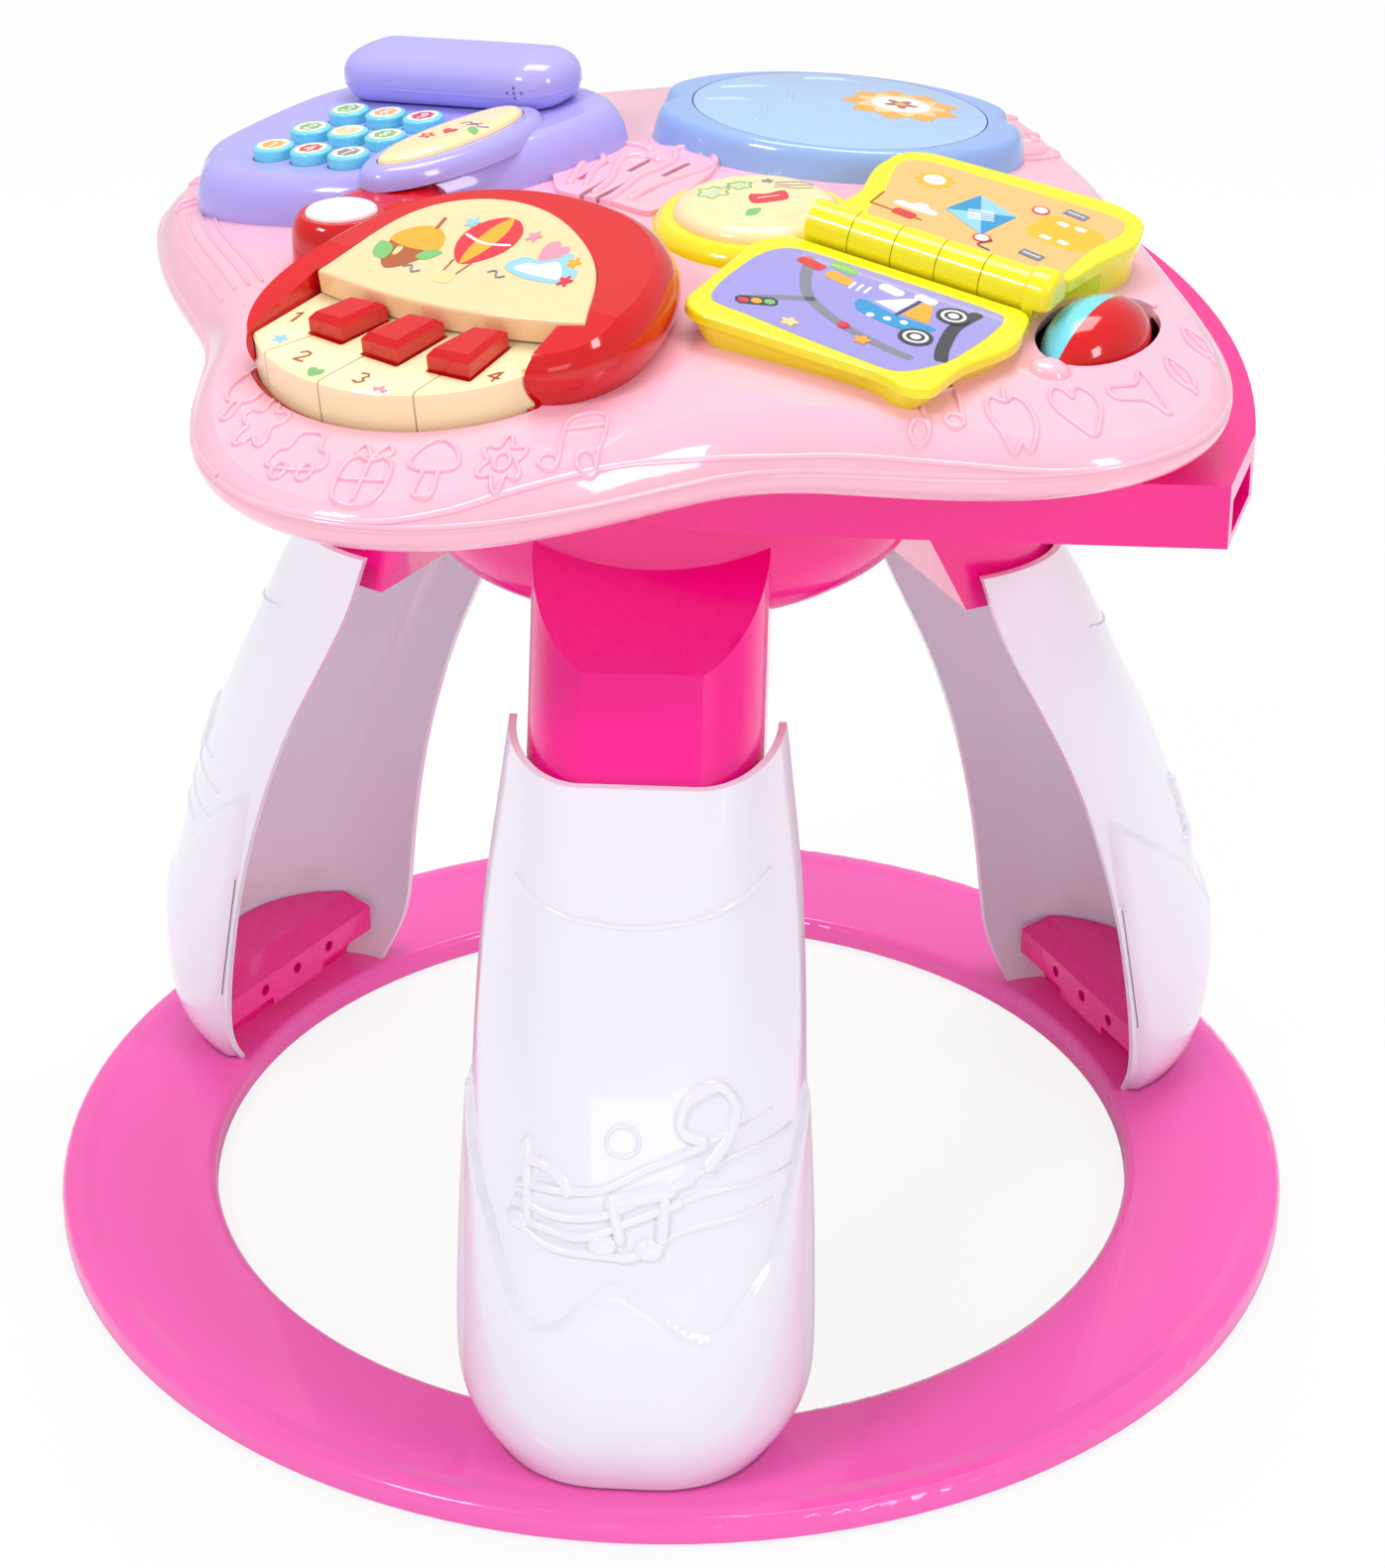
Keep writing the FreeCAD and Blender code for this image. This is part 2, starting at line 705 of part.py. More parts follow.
def swivel_arm():
    low = size("hub_rim") + size("arm_gap")
    parting = low + size("arm_lower_height")
    floor = 2.5
    bore = circle(size("spindle_radius") + size("spindle_fit"))
    lower = new_body("arm_lower_solid")
    pad(lower, arm_outline(), low, "Sizes.arm_lower_height")
    pocket(lower, bore, parting, "Sizes.arm_lower_height + 1")
    depth = size("arm_lower_height") - floor
    pocket(lower, arm_sector(104, 200, -6, 42), parting, depth)
    # Ribbed hollow round the spindle
    for start in range(0, 360, 60):
        pocket(lower, arm_sector(36, 92, start + 3, start + 57), parting, depth)
    socket_low = low + 3.2
    mouths = []
    for frame in seat_socket_frames(socket_low):
        mouths.append(block("seat_socket", "Sizes.arm_socket_depth", "Sizes.arm_socket_width",
                            "Sizes.arm_socket_height", frame * at(-size("arm_socket_depth") / 2 + 1)))
    seats = [Placement(polar(r, a, low), Rotation()) for r, a in ARM_SCREWS]
    bores = screw_holes("arm_bores", 24, seats)
    posts = [cylinder("arm_post", 5, 18, place) for place in seats]
    keep(cut("arm_lower", fuse("arm_posted", cut("arm_hollow", lower, *mouths), *posts), bores))
    cover = new_body("arm_cover_solid")
    pad(cover, arm_outline(), parting, "Sizes.arm_cover_height")
    pocket(cover, bore, parting + size("arm_cover_height"), "Sizes.arm_cover_height + 1")
    keep(cut("arm_cover", cover, bores))


# Tray shells

OUTLINE_POINTS = 48
NOTCH_DEPTHS = {285: 3, 15: -14, 105: -9}
# Places where the outline stays inside the even swell of the lobes
FLAT_DEPTHS = {150: 15, 162: 5.5, 190: -9, 38: 9.7, 50: 10, 334: 4, 350: 7.5}


def tray_radius(azimuth):
    """Widest radius of the tray: four lobes, with notches of different depth between them."""
    radius = size("tray_mean") + size("tray_swell") * math.cos(math.radians(4 * (azimuth - DRUM_LOBE)))
    for notch, depth in NOTCH_DEPTHS.items():
        away = abs((azimuth - notch + 180) % 360 - 180)
        if away < 45:
            radius -= depth * math.cos(math.radians(2 * away)) ** 2
    for middle, depth in FLAT_DEPTHS.items():
        away = abs((azimuth - middle + 180) % 360 - 180)
        if away < 22.5:
            radius -= depth * math.cos(math.radians(4 * away)) ** 2
    return radius


def tray_outline(inset_at):
    """Closed curve inside the widest outline by an inset that may depend on the azimuth."""
    points = []
    for i in range(OUTLINE_POINTS):
        azimuth = 360 * i / OUTLINE_POINTS
        place = polar(tray_radius(azimuth) - inset_at(azimuth), azimuth)
        points.append((place.x, place.y))
    return smooth(points)


def side_inset(azimuth, height):
    """How far the side of the tray has drawn in at a height above the parting line."""
    base = size("tray_parting")
    edge = dome_height(tray_radius(azimuth) - 26) + 1.5
    part = (height - base) / (edge - base)
    bulge = 20
    draft = 5
    if part >= 1:
        return bulge + draft + 70 * (part - 1)
    return bulge * (1 - math.sqrt(1 - part * part)) + draft * part


SIDE_HEIGHTS = [388, 391.5, 395, 398, 400.5, 403, 406, 410]


def tray_side(label, inset, first):
    body = new_body(label)
    sections = []
    for height in SIDE_HEIGHTS:
        curves = tray_outline(lambda a, z=height: side_inset(a, z) + inset)
        sections.append((height if height > SIDE_HEIGHTS[0] else first, curves))
    top = 424
    sections.append((top, tray_outline(lambda a: side_inset(a, SIDE_HEIGHTS[-1]) + 14 + inset)))
    loft(body, sections)
    return body


def ball(label, inset):
    item = doc.addObject("Part::Sphere", label)
    item.Label = label
    item.setExpression("Radius", "Sizes.dome_radius - %s" % inset)
    item.Placement = at(z=size("dome_top") - size("dome_radius"))
    return item


dome = ball("tray_crown", 0)


def below_dome(label, piece):
    """Trim the underside of a piece to the crown of the tray."""
    return keep(cut(label, piece, dome))


TRAY_SCREWS = [(125, 15), (125, 105), (125, 195), (125, 285)]
# Height of the screw bosses in the lower shell, which the posts of the upper shell stand on
BOSS = 7


def tray_screw_places(height):
    return [Placement(polar(r, a, height), Rotation()) for r, a in TRAY_SCREWS]


def tray_top():
    wall = size("tray_wall")
    parting = size("tray_parting")
    outside = common("tray_top_outside", tray_side("tray_side_outer", 0, parting), dome)
    inside = common("tray_top_inside", tray_side("tray_side_inner", wall, parting - 1),
                    ball("tray_crown_inner", "Sizes.tray_wall"))
    shell = cut("tray_top_shell", outside, inside)
    bay = simple_pad("key_bay", bay_outline(0.3), -14, 30, lobe_frame(PIANO_LOBE))
    window = simple_pad("roller_window", roller_window(0), -14, 30, lobe_frame(BOOK_LOBE))
    posts = common("tray_posts_trimmed", ball("tray_crown_posts", 1),
                   group("tray_posts", [cylinder("tray_post", 5, 60, place)
                                        for place in tray_screw_places(size("tray_floor") + BOSS)]))
    posted = fuse("tray_top_posted", shell, posts, *roller_brackets())
    axle = cylinder("axle_bore", "Sizes.roller_pin", 80, roller_frame() * at(z=-40))
    bores = screw_holes("tray_bores", 20, tray_screw_places(size("tray_floor")), size("screw_radius"))
    keep(cut("tray_top", posted, bay, window, bores, axle, grille_slots))


def tray_bottom():
    wall = size("tray_wall")
    floor = size("tray_floor")
    edge = size("tray_edge")
    parting = size("tray_parting")
    outside = new_body("tray_dish_outer")
    loft(outside, [
        (floor, tray_outline(lambda a: 42)),
        (floor + 4, tray_outline(lambda a: 26)),
        (floor + 9, tray_outline(lambda a: 12)),
        (edge, tray_outline(lambda a: 3.5)),
        (edge + 3, tray_outline(lambda a: 1)),
        (parting, tray_outline(lambda a: 0.4)),
    ])
    inside = new_body("tray_dish_inner")
    loft(inside, [
        (floor + wall, tray_outline(lambda a: 44)),
        (floor + wall + 4, tray_outline(lambda a: 29)),
        (floor + wall + 8, tray_outline(lambda a: 15)),
        (edge + 3, tray_outline(lambda a: 4.2)),
        (parting + 1, tray_outline(lambda a: 3.4)),
    ])
    shell = cut("tray_dish", outside, inside)
    wiring = cylinder("tray_wiring_hole", 20, 10, at(z=floor - 2))
    hatch = block("battery_opening", 66, 54, 8, Placement(polar(130, DRUM_LOBE, floor - 2),
                                                          Rotation(Z, DRUM_LOBE)))
    slot = block("switch_slot", 20, 9, 8, at(-108, -62, floor - 2))
    bores = screw_holes("tray_floor_bores", 12, tray_screw_places(floor))
    recesses = group("tray_recesses", [cylinder("tray_recess", 5.5, 6, place)
                                       for place in tray_screw_places(floor - 2.8)])
    bosses = [cylinder("tray_boss", 8, BOSS, place) for place in tray_screw_places(floor)]
    solid = fuse("tray_dish_bossed", shell, *bosses)
    keep(cut("tray_bottom", solid, wiring, hatch, slot, bores, recesses))
    screws("tray_screws", 16, tray_screw_places(floor + 3.2))


# Electric parts in the tray


def electrics():
    floor = size("tray_floor")
    inner = floor + size("tray_wall")
    turn = Rotation(Z, DRUM_LOBE)
    centre = polar(130, DRUM_LOBE)
    door = block("battery_door", 65.4, 53.4, 2, Placement(Vector(centre.x, centre.y, floor), turn))
    head_recess = 1.2
    door_hole = cylinder("door_hole", 2.2, 6, Placement(polar(157, DRUM_LOBE, floor - 1), Rotation()))
    door_recess = cylinder("door_recess", 4.3, 1 + head_recess,
                           Placement(polar(157, DRUM_LOBE, floor - 1), Rotation()))
    keep(cut("battery_door_panel", door, door_hole, door_recess))
    place = Placement(Vector(centre.x, centre.y, floor + 2), turn)
    box = new_body("battery_tub", place)
    pad(box, rectangle(65.2, 53.2, 2), 0, 20)
    pocket(box, rectangle(50, 48, 1, centre=(-5, 0)), 18, 18)
    stud = cylinder("door_stud_bore", "Sizes.screw_radius", 9, place * at(27, 0, -0.5))
    keep(cut("battery_box", box, stud))
    screws("door_screw", 8, [place * at(27, 0, head_recess - 2)])
    cell_radius = 7.2
    cells = [cylinder("cell", cell_radius, 48, place * at(-5 + offset, -24, 8, Rotation(X, -90)))
             for offset in (-15.6, 0, 15.6)]
    keep(group("batteries", cells))
    board = new_body("board", Placement(polar(112, PIANO_LOBE, inner), Rotation(Z, PIANO_LOBE)))
    pad(board, rectangle(64, 46, 2), 6, 1.6)
    pad(board, rectangle(18, 14, 1), 7.6, 2.4)
    for x, y in ((-27, -18), (27, -18), (-27, 18), (27, 18)):
        pad(board, circle(3, x, y), 0, 6)
    board.Label = "circuit_board"
    keep(board)
    driver = new_body("speaker_driver", at(-15, 33, 391))
    pad(driver, circle(14), 0, 10)
    pad(driver, circle(26), 10, 10)
    pocket(driver, circle(22), 20, 6)
    keep(driver)
    legs_of_speaker = cylinder("speaker_stand_solid", 20, 391 - inner, at(-15, 33, inner))
    core = cylinder("speaker_stand_core", 17, 40, at(-15, 33, inner - 1))
    keep(cut("speaker_stand", legs_of_speaker, core))
    switch = new_body("power_switch", at(-108, -62, floor))
    pad(switch, rectangle(8, 7.6, 1, centre=(-4.5, 0)), -0.6, 3.9)
    pad(switch, rectangle(14, 12, 1, centre=(-4.5, 0)), size("tray_wall") + 0.3, 2)
    keep(switch)


# Drum


def drum():
    frame = lobe_frame(DRUM_LOBE)
    centre_x = 0
    centre_y = -8
    # The base is an oval across the table with a notch at each end
    long_half = 73
    short_half = 62
    cross = DRUM_LOBE - 90
    notches = (178, 8)
    notch_width = 9

    def base_point(angle, inset, notch_depth=7):
        radius = (long_half - inset) * (short_half - inset) / math.hypot(
            (short_half - inset) * math.cos(math.radians(angle)),
            (long_half - inset) * math.sin(math.radians(angle)))
        for notch in notches:
            away = abs((angle - notch + 180) % 360 - 180)
            radius -= notch_depth * math.exp(-(away / notch_width) ** 2)
        turned = math.radians(angle - cross)
        return (centre_x + radius * math.cos(turned), centre_y + radius * math.sin(turned))

    def base_outline(inset):
        return smooth([base_point(angle, inset) for angle in range(0, 360, 6)])

    radius = size("drum_radius")
    rim = size("drum_rim")
    base = new_body("drum_solid", frame)
    loft(base, [(-8, base_outline(-1)), (0, base_outline(-0.5)), (rim * 0.6, base_outline(0.8)),
                (rim * 0.9, base_outline(2.4)), (rim, base_outline(4.4))])
    hole = size("drum_radius") + 0.5
    pocket(base, circle(hole, centre_x, centre_y), rim, rim - 2.6)
    drum_base = below_dome("drum_base", base)
    skirt = 4
    rise = 3
    crown = radius * radius / (2 * rise)
    # Shallow crown on the drum skin
    crown_ball = doc.addObject("Part::Sphere", "drum_crown")
    crown_ball.Radius = crown
    crown_ball.Placement = frame * at(centre_x, centre_y, rim + rise - crown)
    column = cylinder("drum_column", "Sizes.drum_radius", 20,
                      frame * at(centre_x, centre_y, rim - skirt))
    keep(common("drum_pad", column, crown_ball))
    return drum_base


# Telephone

PHONE_OUTLINE = [(-60, 50), (-71, 33), (-72, 7), (-67, -18), (-54, -41), (-35, -54), (-4, -67),
                 (37, -75), (60, -64), (70, -35), (67, 5), (57, 42), (30, 62), (-10, 66), (-42, 62)]
KEY_ROWS = (0, -23.5, -46)
KEY_COLUMNS = (21, 3, -15)
LEAF_CENTRE = (-18, -42)
LEAF_HALF = (36, 12.5)
LEAF_TURN = -9
HANDSET_CENTRE = (38, -6)
HANDSET_TURN = 3.5


def shrink(points, inset):
    """Move an outline's points towards its middle."""
    middle_x = sum(p[0] for p in points) / len(points)
    middle_y = sum(p[1] for p in points) / len(points)
    moved = []
    for x, y in points:
        reach = math.hypot(x - middle_x, y - middle_y)
        part = (reach - inset) / reach
        moved.append((middle_x + (x - middle_x) * part, middle_y + (y - middle_y) * part))
    return moved


def telephone():
    frame = lobe_frame(PHONE_LOBE)
    top = size("phone_height")
    radius = size("phone_key_radius")
    base = new_body("phone_solid", frame)
    loft(base, [
        (-8, smooth(PHONE_OUTLINE)),
        (0, smooth(PHONE_OUTLINE)),
        (top * 0.55, smooth(shrink(PHONE_OUTLINE, 2))),
        (top * 0.85, smooth(shrink(PHONE_OUTLINE, 5))),
        (top, smooth(shrink(PHONE_OUTLINE, 9))),
    ])
    bezel = new_body("leaf_bezel", frame)
    x, y = LEAF_CENTRE
    bezel_rise = 4
    loft(bezel, [
        (top - 4, oval(LEAF_HALF[0] + 9, LEAF_HALF[1] + 8, x, y, LEAF_TURN)),
        (top + bezel_rise * 0.6, oval(LEAF_HALF[0] + 7, LEAF_HALF[1] + 6, x, y, LEAF_TURN)),
        (top + bezel_rise, oval(LEAF_HALF[0] + 4, LEAF_HALF[1] + 3, x, y, LEAF_TURN)),
    ])
    raised = fuse("phone_raised", base, bezel)
    wells = [simple_pad("leaf_well", oval(LEAF_HALF[0] + 0.5, LEAF_HALF[1] + 0.5, x, y, LEAF_TURN),
                        top - 7, 20, frame)]
    for row in KEY_ROWS:
        for column in KEY_COLUMNS:
            wells.append(cylinder("key_well", radius + 0.4, 20, frame * at(row, column, top - 7)))
    phone_base = below_dome("phone_base", cut("phone_shell", raised, group("phone_wells", wells)))
    number = 0
    rise = size("phone_key_rise")
    for column in KEY_COLUMNS:
        for row in reversed(KEY_ROWS):
            number += 1
            key = new_body("phone_key_%d" % number, frame)
            pad(key, circle(radius, row, column), top - 4, rise + 4)
            round_edges(key, 1.2, top + rise - 0.1, top + rise + 0.1)
            keep(key)
    leaf = new_body("leaf_button", frame)
    levels = [(-8, 0), (0, 0), (1.2, 0.6), (2.2, 2), (2.8, 4), (3, 6)]
    loft(leaf, [(top + bezel_rise + height,
                 oval(LEAF_HALF[0] - inset, LEAF_HALF[1] - inset, x, y, LEAF_TURN))
                for height, inset in levels], straight=True)
    keep(leaf)
    handset(frame)
    return phone_base


def handset(frame):
    x, y = HANDSET_CENTRE
    length = size("handset_length")
    width = size("handset_width")
    low = size("phone_height") + 0.4
    tall = size("handset_height")
    body = new_body("handset", frame * at(x, y, 0, Rotation(Z, HANDSET_TURN)))
    sections = [(0, 5.5), (0.1, 2.2), (0.3, 0.4), (0.5, 0), (0.72, 1.6), (0.87, 5), (1, 12)]
    loft(body, [(low + part * tall, rectangle(width - 2 * inset, length - 2 * inset,
                                              (width - 2 * inset) * 0.42))
                for part, inset in sections])
    keep(body)


# Piano

# The case is widest at mid height and draws in to its base and its top
CASE_OUTLINE = [(-46, 26), (-61, 15), (-68, -5), (-65, -30), (-53, -56), (-31, -73), (0, -79),
                (29, -73), (54, -54), (67, -22), (71, 12), (66, 38), (58, 49)]
CASE_TOP = [(-46, 14), (-58, 9), (-62, -6), (-58, -29), (-47, -50), (-28, -65), (0, -70),
            (26, -65), (48, -48), (59, -20), (62, 9), (59, 29), (53, 38)]
PANEL_OUTLINE = [(52.8, 12.8), (50.2, -12.8), (42.6, -38.2), (26, -51.6), (4, -54.1),
                 (-19, -44.5), (-38.7, -26.8), (-50.4, -5.5), (-54.2, 2.6)]
PANEL_FRONT_MIDDLE = (-4, 14.6)
# Front of the key bay as an arc: right end, middle and left end
BAY_FRONT = [(-47, 24), (17, 64), (59.5, 47)]
BAY_BACK = [(57, 8), (-46.5, 0)]
# Seams between the white keys, from the front to the back
SEAMS = [((47.5, 57), (30, 20)), ((18, 68), (9, 18)), ((-17, 58), (-21, 14))]
RED_KEYS = [((40, 36), (34, 17.2), (20, 16.6), (25, 37)),
            ((14.5, 39.5), (8, 17.5), (-4.8, 17), (-1.5, 40.5)),
            ((-12.8, 38.8), (-17.2, 15.2), (-29, 13), (-30, 37.5))]
TUB_WALL = 1.6
TUB_BOTTOM = -9
CASE_WALL = 3


def bay_outline(grow):
    """Key bay: from the curved front back to a straight line under the panel."""
    ends = [flat(*p) for p in BAY_FRONT]
    centre = Part.Arc(*ends).toShape().Curve.Center
    front = []
    for point in ends:
        outwards = point - centre
        front.append(centre + outwards * ((outwards.Length + grow) / outwards.Length))
    back_left = flat(BAY_BACK[0][0] + grow, BAY_BACK[0][1] - grow)
    back_right = flat(BAY_BACK[1][0] - grow, BAY_BACK[1][1] - grow)
    return [
        Part.Arc(*front),
        Part.LineSegment(front[2], back_left),
        Part.LineSegment(back_left, back_right),
        Part.LineSegment(back_right, front[0]),
    ]


def bowed(points, middle=None):
    """Smooth curve through the points, closed by a straight line or by an arc."""
    curve = Part.BSplineCurve()
    curve.interpolate([flat(*p) for p in points])
    start = flat(*points[-1])
    end = flat(*points[0])
    closing = Part.Arc(start, flat(*middle), end) if middle else Part.LineSegment(start, end)
    return [curve, closing]


def blend(points, others, part):
    """Points part of the way from one outline to another."""
    return [(x + (u - x) * part, y + (v - y) * part) for (x, y), (u, v) in zip(points, others)]


def panel_outline(grow):
    """Outline of the picture panel about the middle of its front edge."""
    shift_y = PANEL_FRONT_MIDDLE[1]
    moved = [(x, y - shift_y) for x, y in shrink(PANEL_OUTLINE, -grow)]
    return bowed(moved, (PANEL_FRONT_MIDDLE[0], grow))


def piano_case(frame):
    top = size("piano_height")
    low = TUB_BOTTOM
    case = new_body("case_solid", frame)
    levels = [(low, shrink(CASE_OUTLINE, 3.5)), (0, shrink(CASE_OUTLINE, 3)),
              (top * 0.4, CASE_OUTLINE), (top * 0.7, blend(CASE_OUTLINE, CASE_TOP, 0.2)),
              (top * 0.9, blend(CASE_OUTLINE, CASE_TOP, 0.6)), (top, CASE_TOP)]
    loft(case, [(height, bowed(points)) for height, points in levels])
    bay = simple_pad("bay_cut", bay_outline(-TUB_WALL), low - 1, 60, frame)
    # The rim falls towards the front of the keys
    fall_start = -5
    fall = block("case_fall", 200, 140, 40,
                 frame * at(0, fall_start, top, Rotation(X, -10)) * at(0, 70, 0))
    thick = size("panel_thick")
    panel_frame = frame * at(0, PANEL_FRONT_MIDDLE[1], size("panel_front"),
                             Rotation(X, -size("panel_slope")))
    panel_seat = simple_pad("panel_seat", panel_outline(0.3), -thick, 40, panel_frame)
    core = new_body("case_core", frame)
    pad(core, bowed(shrink([(x, y if y < 0 else y - 24) for x, y in CASE_OUTLINE], 9)),
        low - 1, size("panel_front") - thick - CASE_WALL - low)
    upper = cut("case_upper", case, bay, fall, panel_seat, core, dome)
    tub = new_body("tub_walls", frame)
    pad(tub, bay_outline(0), low, -low + 6)
    pocket(tub, bay_outline(-TUB_WALL), 6, 6 - low - TUB_WALL)
    # In front of the keys the tub's rim lies below the tray's surface
    front_start = 26
    front_depth = 60
    lowered = block("tub_front", 160, front_depth, 20, frame * at(0, front_start + front_depth / 2, -3.5))
    tub_part = cut("tub_lowered", common("tub_trimmed", tub, ball("tub_crown", 0)), lowered)
    keep(fuse("piano_case", upper, tub_part))
    panel = new_body("piano_panel", panel_frame)
    pad(panel, panel_outline(0), -thick, "Sizes.panel_thick")
    round_edges(panel, 1.5, -0.1, 0.1)
    keep(panel)


def seam_line(seam, offset):
    """Two far points on a seam, moved sideways."""
    front = flat(*seam[0])
    back = flat(*seam[1])
    along = (front - back).normalize()
    side = flat(along.y, -along.x) * offset
    return back - along * 40 + side, front + along * 40 + side


def piano_keys(frame):
    gap = size("key_gap") / 2
    key_low = TUB_BOTTOM + TUB_WALL + 3
    top = size("white_key_top")
    slots = [simple_pad("red_slot", rounded(shrink(corners, -1.2), 1), key_low - 1, 40, frame)
             for corners in RED_KEYS]
    slot_group = group("red_slots", slots)
    left_edge = (flat(110, 0), flat(110, 90))
    right_edge = (flat(-100, 0), flat(-100, 90))
    for number in range(4):
        left = seam_line(SEAMS[number - 1], -gap) if number else None
        right = seam_line(SEAMS[number], gap) if number < 3 else None
        low_left, high_left = left or left_edge
        low_right, high_right = right or right_edge
        wedge_points = [low_left, high_left, high_right, low_right]
        wedge = simple_pad("white_wedge_%d" % number, rounded([(p.x, p.y) for p in wedge_points], 0),
                           key_low - 1, 40, frame)
        bed = new_body("white_bed_%d" % number, frame)
        fit = -TUB_WALL - 0.6
        edge = 1
        loft(bed, [(key_low, bay_outline(fit)), (top - edge, bay_outline(fit)),
                   (top, bay_outline(fit - edge))], straight=True)
        keep(cut("white_key_%d" % (number + 1), common("white_blank", bed, wedge), slot_group))
    for number, corners in enumerate(RED_KEYS, start=1):
        key = new_body("red_key_%d" % number, frame)
        high = size("red_key_top")
        bevel = 2.2
        side = shrink(corners, 0.3)
        loft(key, [(key_low + 1, rounded(side, 0)), (high - bevel, rounded(side, 0)),
                   (high, rounded(shrink(side, bevel * 1.4), 0))], straight=True)
        keep(key)


# Book

LEAF_OUTLINE = [(4.4, -66), (16, -75), (74, -74), (81, -66), (79.5, 4), (84, 17), (80, 25), (57, 26),
                (31, 35), (4.4, 29)]
LEAF_RADII = [6, 12, 12, 12, 30, 9, 8, 40, 30, 8]
PAGE_OUTLINE = [(-15.6, -61), (-34, -58), (-56, -63), (-77, -61), (-82, -50), (-87, 22), (-81, 36),
                (-61, 41.5), (-38, 36), (-15.6, 33)]
PAGE_RADII = [4, 30, 30, 14, 12, 16, 14, 25, 40, 4]
SPINE_PLACE = -5
SPINE_START = -62
KNUCKLE_LENGTH = 17.2
KNUCKLES = 5
ROUND_BUTTON = (33, -13)
ROUND_BASE = 38


def spine_cylinder(label, radius, start, length, frame):
    return cylinder(label, radius, length,
                    frame * at(SPINE_PLACE, start, size("spine_height"), Rotation(X, -90)))


def book():
    frame = lobe_frame(BOOK_LOBE, BOOK_TURN)
    floor = size("book_floor")
    thick = size("page_thick")
    axis = size("spine_height")
    radius = size("spine_radius")
    left = new_body("left_leaf", frame)
    plate = 4
    pad(left, rounded(LEAF_OUTLINE, LEAF_RADII), floor - plate, plate)
    round_edges(left, 1.5, floor - 0.1, floor + 0.1)
    # The walls under the left leaf draw in towards the tray
    left_wall = new_body("left_leaf_wall", frame)
    loft(left_wall, [(-8, rounded(shrink(LEAF_OUTLINE, 9), LEAF_RADII)),
                     (floor - 2, rounded(shrink(LEAF_OUTLINE, 0.4), LEAF_RADII))], straight=True)
    right = new_body("right_leaf", frame)
    pad(right, rounded(shrink(PAGE_OUTLINE, 1.5), PAGE_RADII), -8, "Sizes.book_floor + 8")
    strip = simple_pad("spine_strip", rectangle(24, 90, 0, centre=(SPINE_PLACE, -16)), -8, 10, frame)
    gap = 0.4
    fixed = []
    moving = []
    for number in range(KNUCKLES):
        start = SPINE_START + number * KNUCKLE_LENGTH
        length = KNUCKLE_LENGTH - gap
        barrel = spine_cylinder("knuckle", "Sizes.spine_radius", start, length, frame)
        middle = start + length / 2
        if number % 2:
            web = block("page_web", 12, length, thick,
                        frame * at(SPINE_PLACE - 7, middle, axis - thick / 2))
            moving.extend([barrel, web])
        else:
            web = block("knuckle_web", 9, length, axis - 1.5, frame * at(SPINE_PLACE, middle, 1))
            fixed.extend([barrel, web])
    cap_start = SPINE_START + KNUCKLES * KNUCKLE_LENGTH - gap
    cap_radius = size("spine_radius") + 1.5
    cap_length = 10.5
    cap = new_body("spine_cap", frame * at(SPINE_PLACE, cap_start, axis, Rotation(X, -90)))
    revolve(cap, rounded([(0, 0), (cap_radius, 0), (cap_radius, cap_length), (0, cap_length)],
                         [0, 1.5, 4, 0]))
    x, y = ROUND_BUTTON
    crown = dome_height(math.hypot(x, y))
    cup = new_body("button_cup", at(x, y, crown))
    loft(cup, [(-8, circle(ROUND_BASE)), (3, circle(ROUND_BASE - 0.8)), (5.5, circle(ROUND_BASE - 3.5))])
    pocket(cup, circle(size("round_button_radius") + 0.5), 5.5, 4)
    cup_clear = cylinder("cup_clear", size("round_button_radius") + 0.5, 30, at(x, y, crown + 1.5))
    pin_bore = spine_cylinder("pin_bore", size("spine_pin") + 0.02, SPINE_START - 1, 90, frame)
    roller_gap = simple_pad("roller_clear", roller_window(2.5), -14, 14 + floor + 1,
                            lobe_frame(BOOK_LOBE))
    solid = fuse("book_solid", left, left_wall, right, strip, cup, cap, *fixed)
    book_base = below_dome("book_base", cut("book_open", solid, cup_clear, pin_bore, roller_gap))
    page = new_body("page_leaf", frame)
    pad(page, rounded(PAGE_OUTLINE, PAGE_RADII), axis - thick / 2, "Sizes.page_thick")
    round_edges(page, 1.2, axis + thick / 2 - 0.1, axis + thick / 2 + 0.1)
    page_bore = spine_cylinder("page_bore", size("spine_pin") + 0.05, SPINE_START, 90, frame)
    keep(cut("book_page", fuse("page_solid", page, *moving), page_bore))
    keep(spine_cylinder("book_pin", "Sizes.spine_pin", SPINE_START + 1, 85, frame))
    button = new_body("round_button", at(x, y, crown))
    full = size("round_button_radius")
    loft(button, [(3.6, circle(full)), (7.5, circle(full)), (9.5, circle(full - 2)),
                  (11, circle(full - 7)), (11.8, circle(full - 16))])
    keep(button)
    return book_base


# Spin roller

ROLLER_CENTRE = (-21, 45)
ROLLER_DEPTH = -7.5


def roller_window(grow):
    return oval(32.5 + grow, 18.4 + grow, ROLLER_CENTRE[0], ROLLER_CENTRE[1])


def roller_frame():
    """Frame of the roller: its z runs along the axle."""
    place = at(ROLLER_CENTRE[0], ROLLER_CENTRE[1], ROLLER_DEPTH, Rotation(Y, 90))
    return lobe_frame(BOOK_LOBE) * place


def roller_brackets():
    frame = lobe_frame(BOOK_LOBE)
    pieces = []
    for side in (-1, 1):
        middle = ROLLER_CENTRE[0] + side * (size("roller_length") / 2 + 3.6)
        pieces.append(block("roller_bracket", 6, 10, 12, frame * at(middle, ROLLER_CENTRE[1], -13.5)))
    return pieces


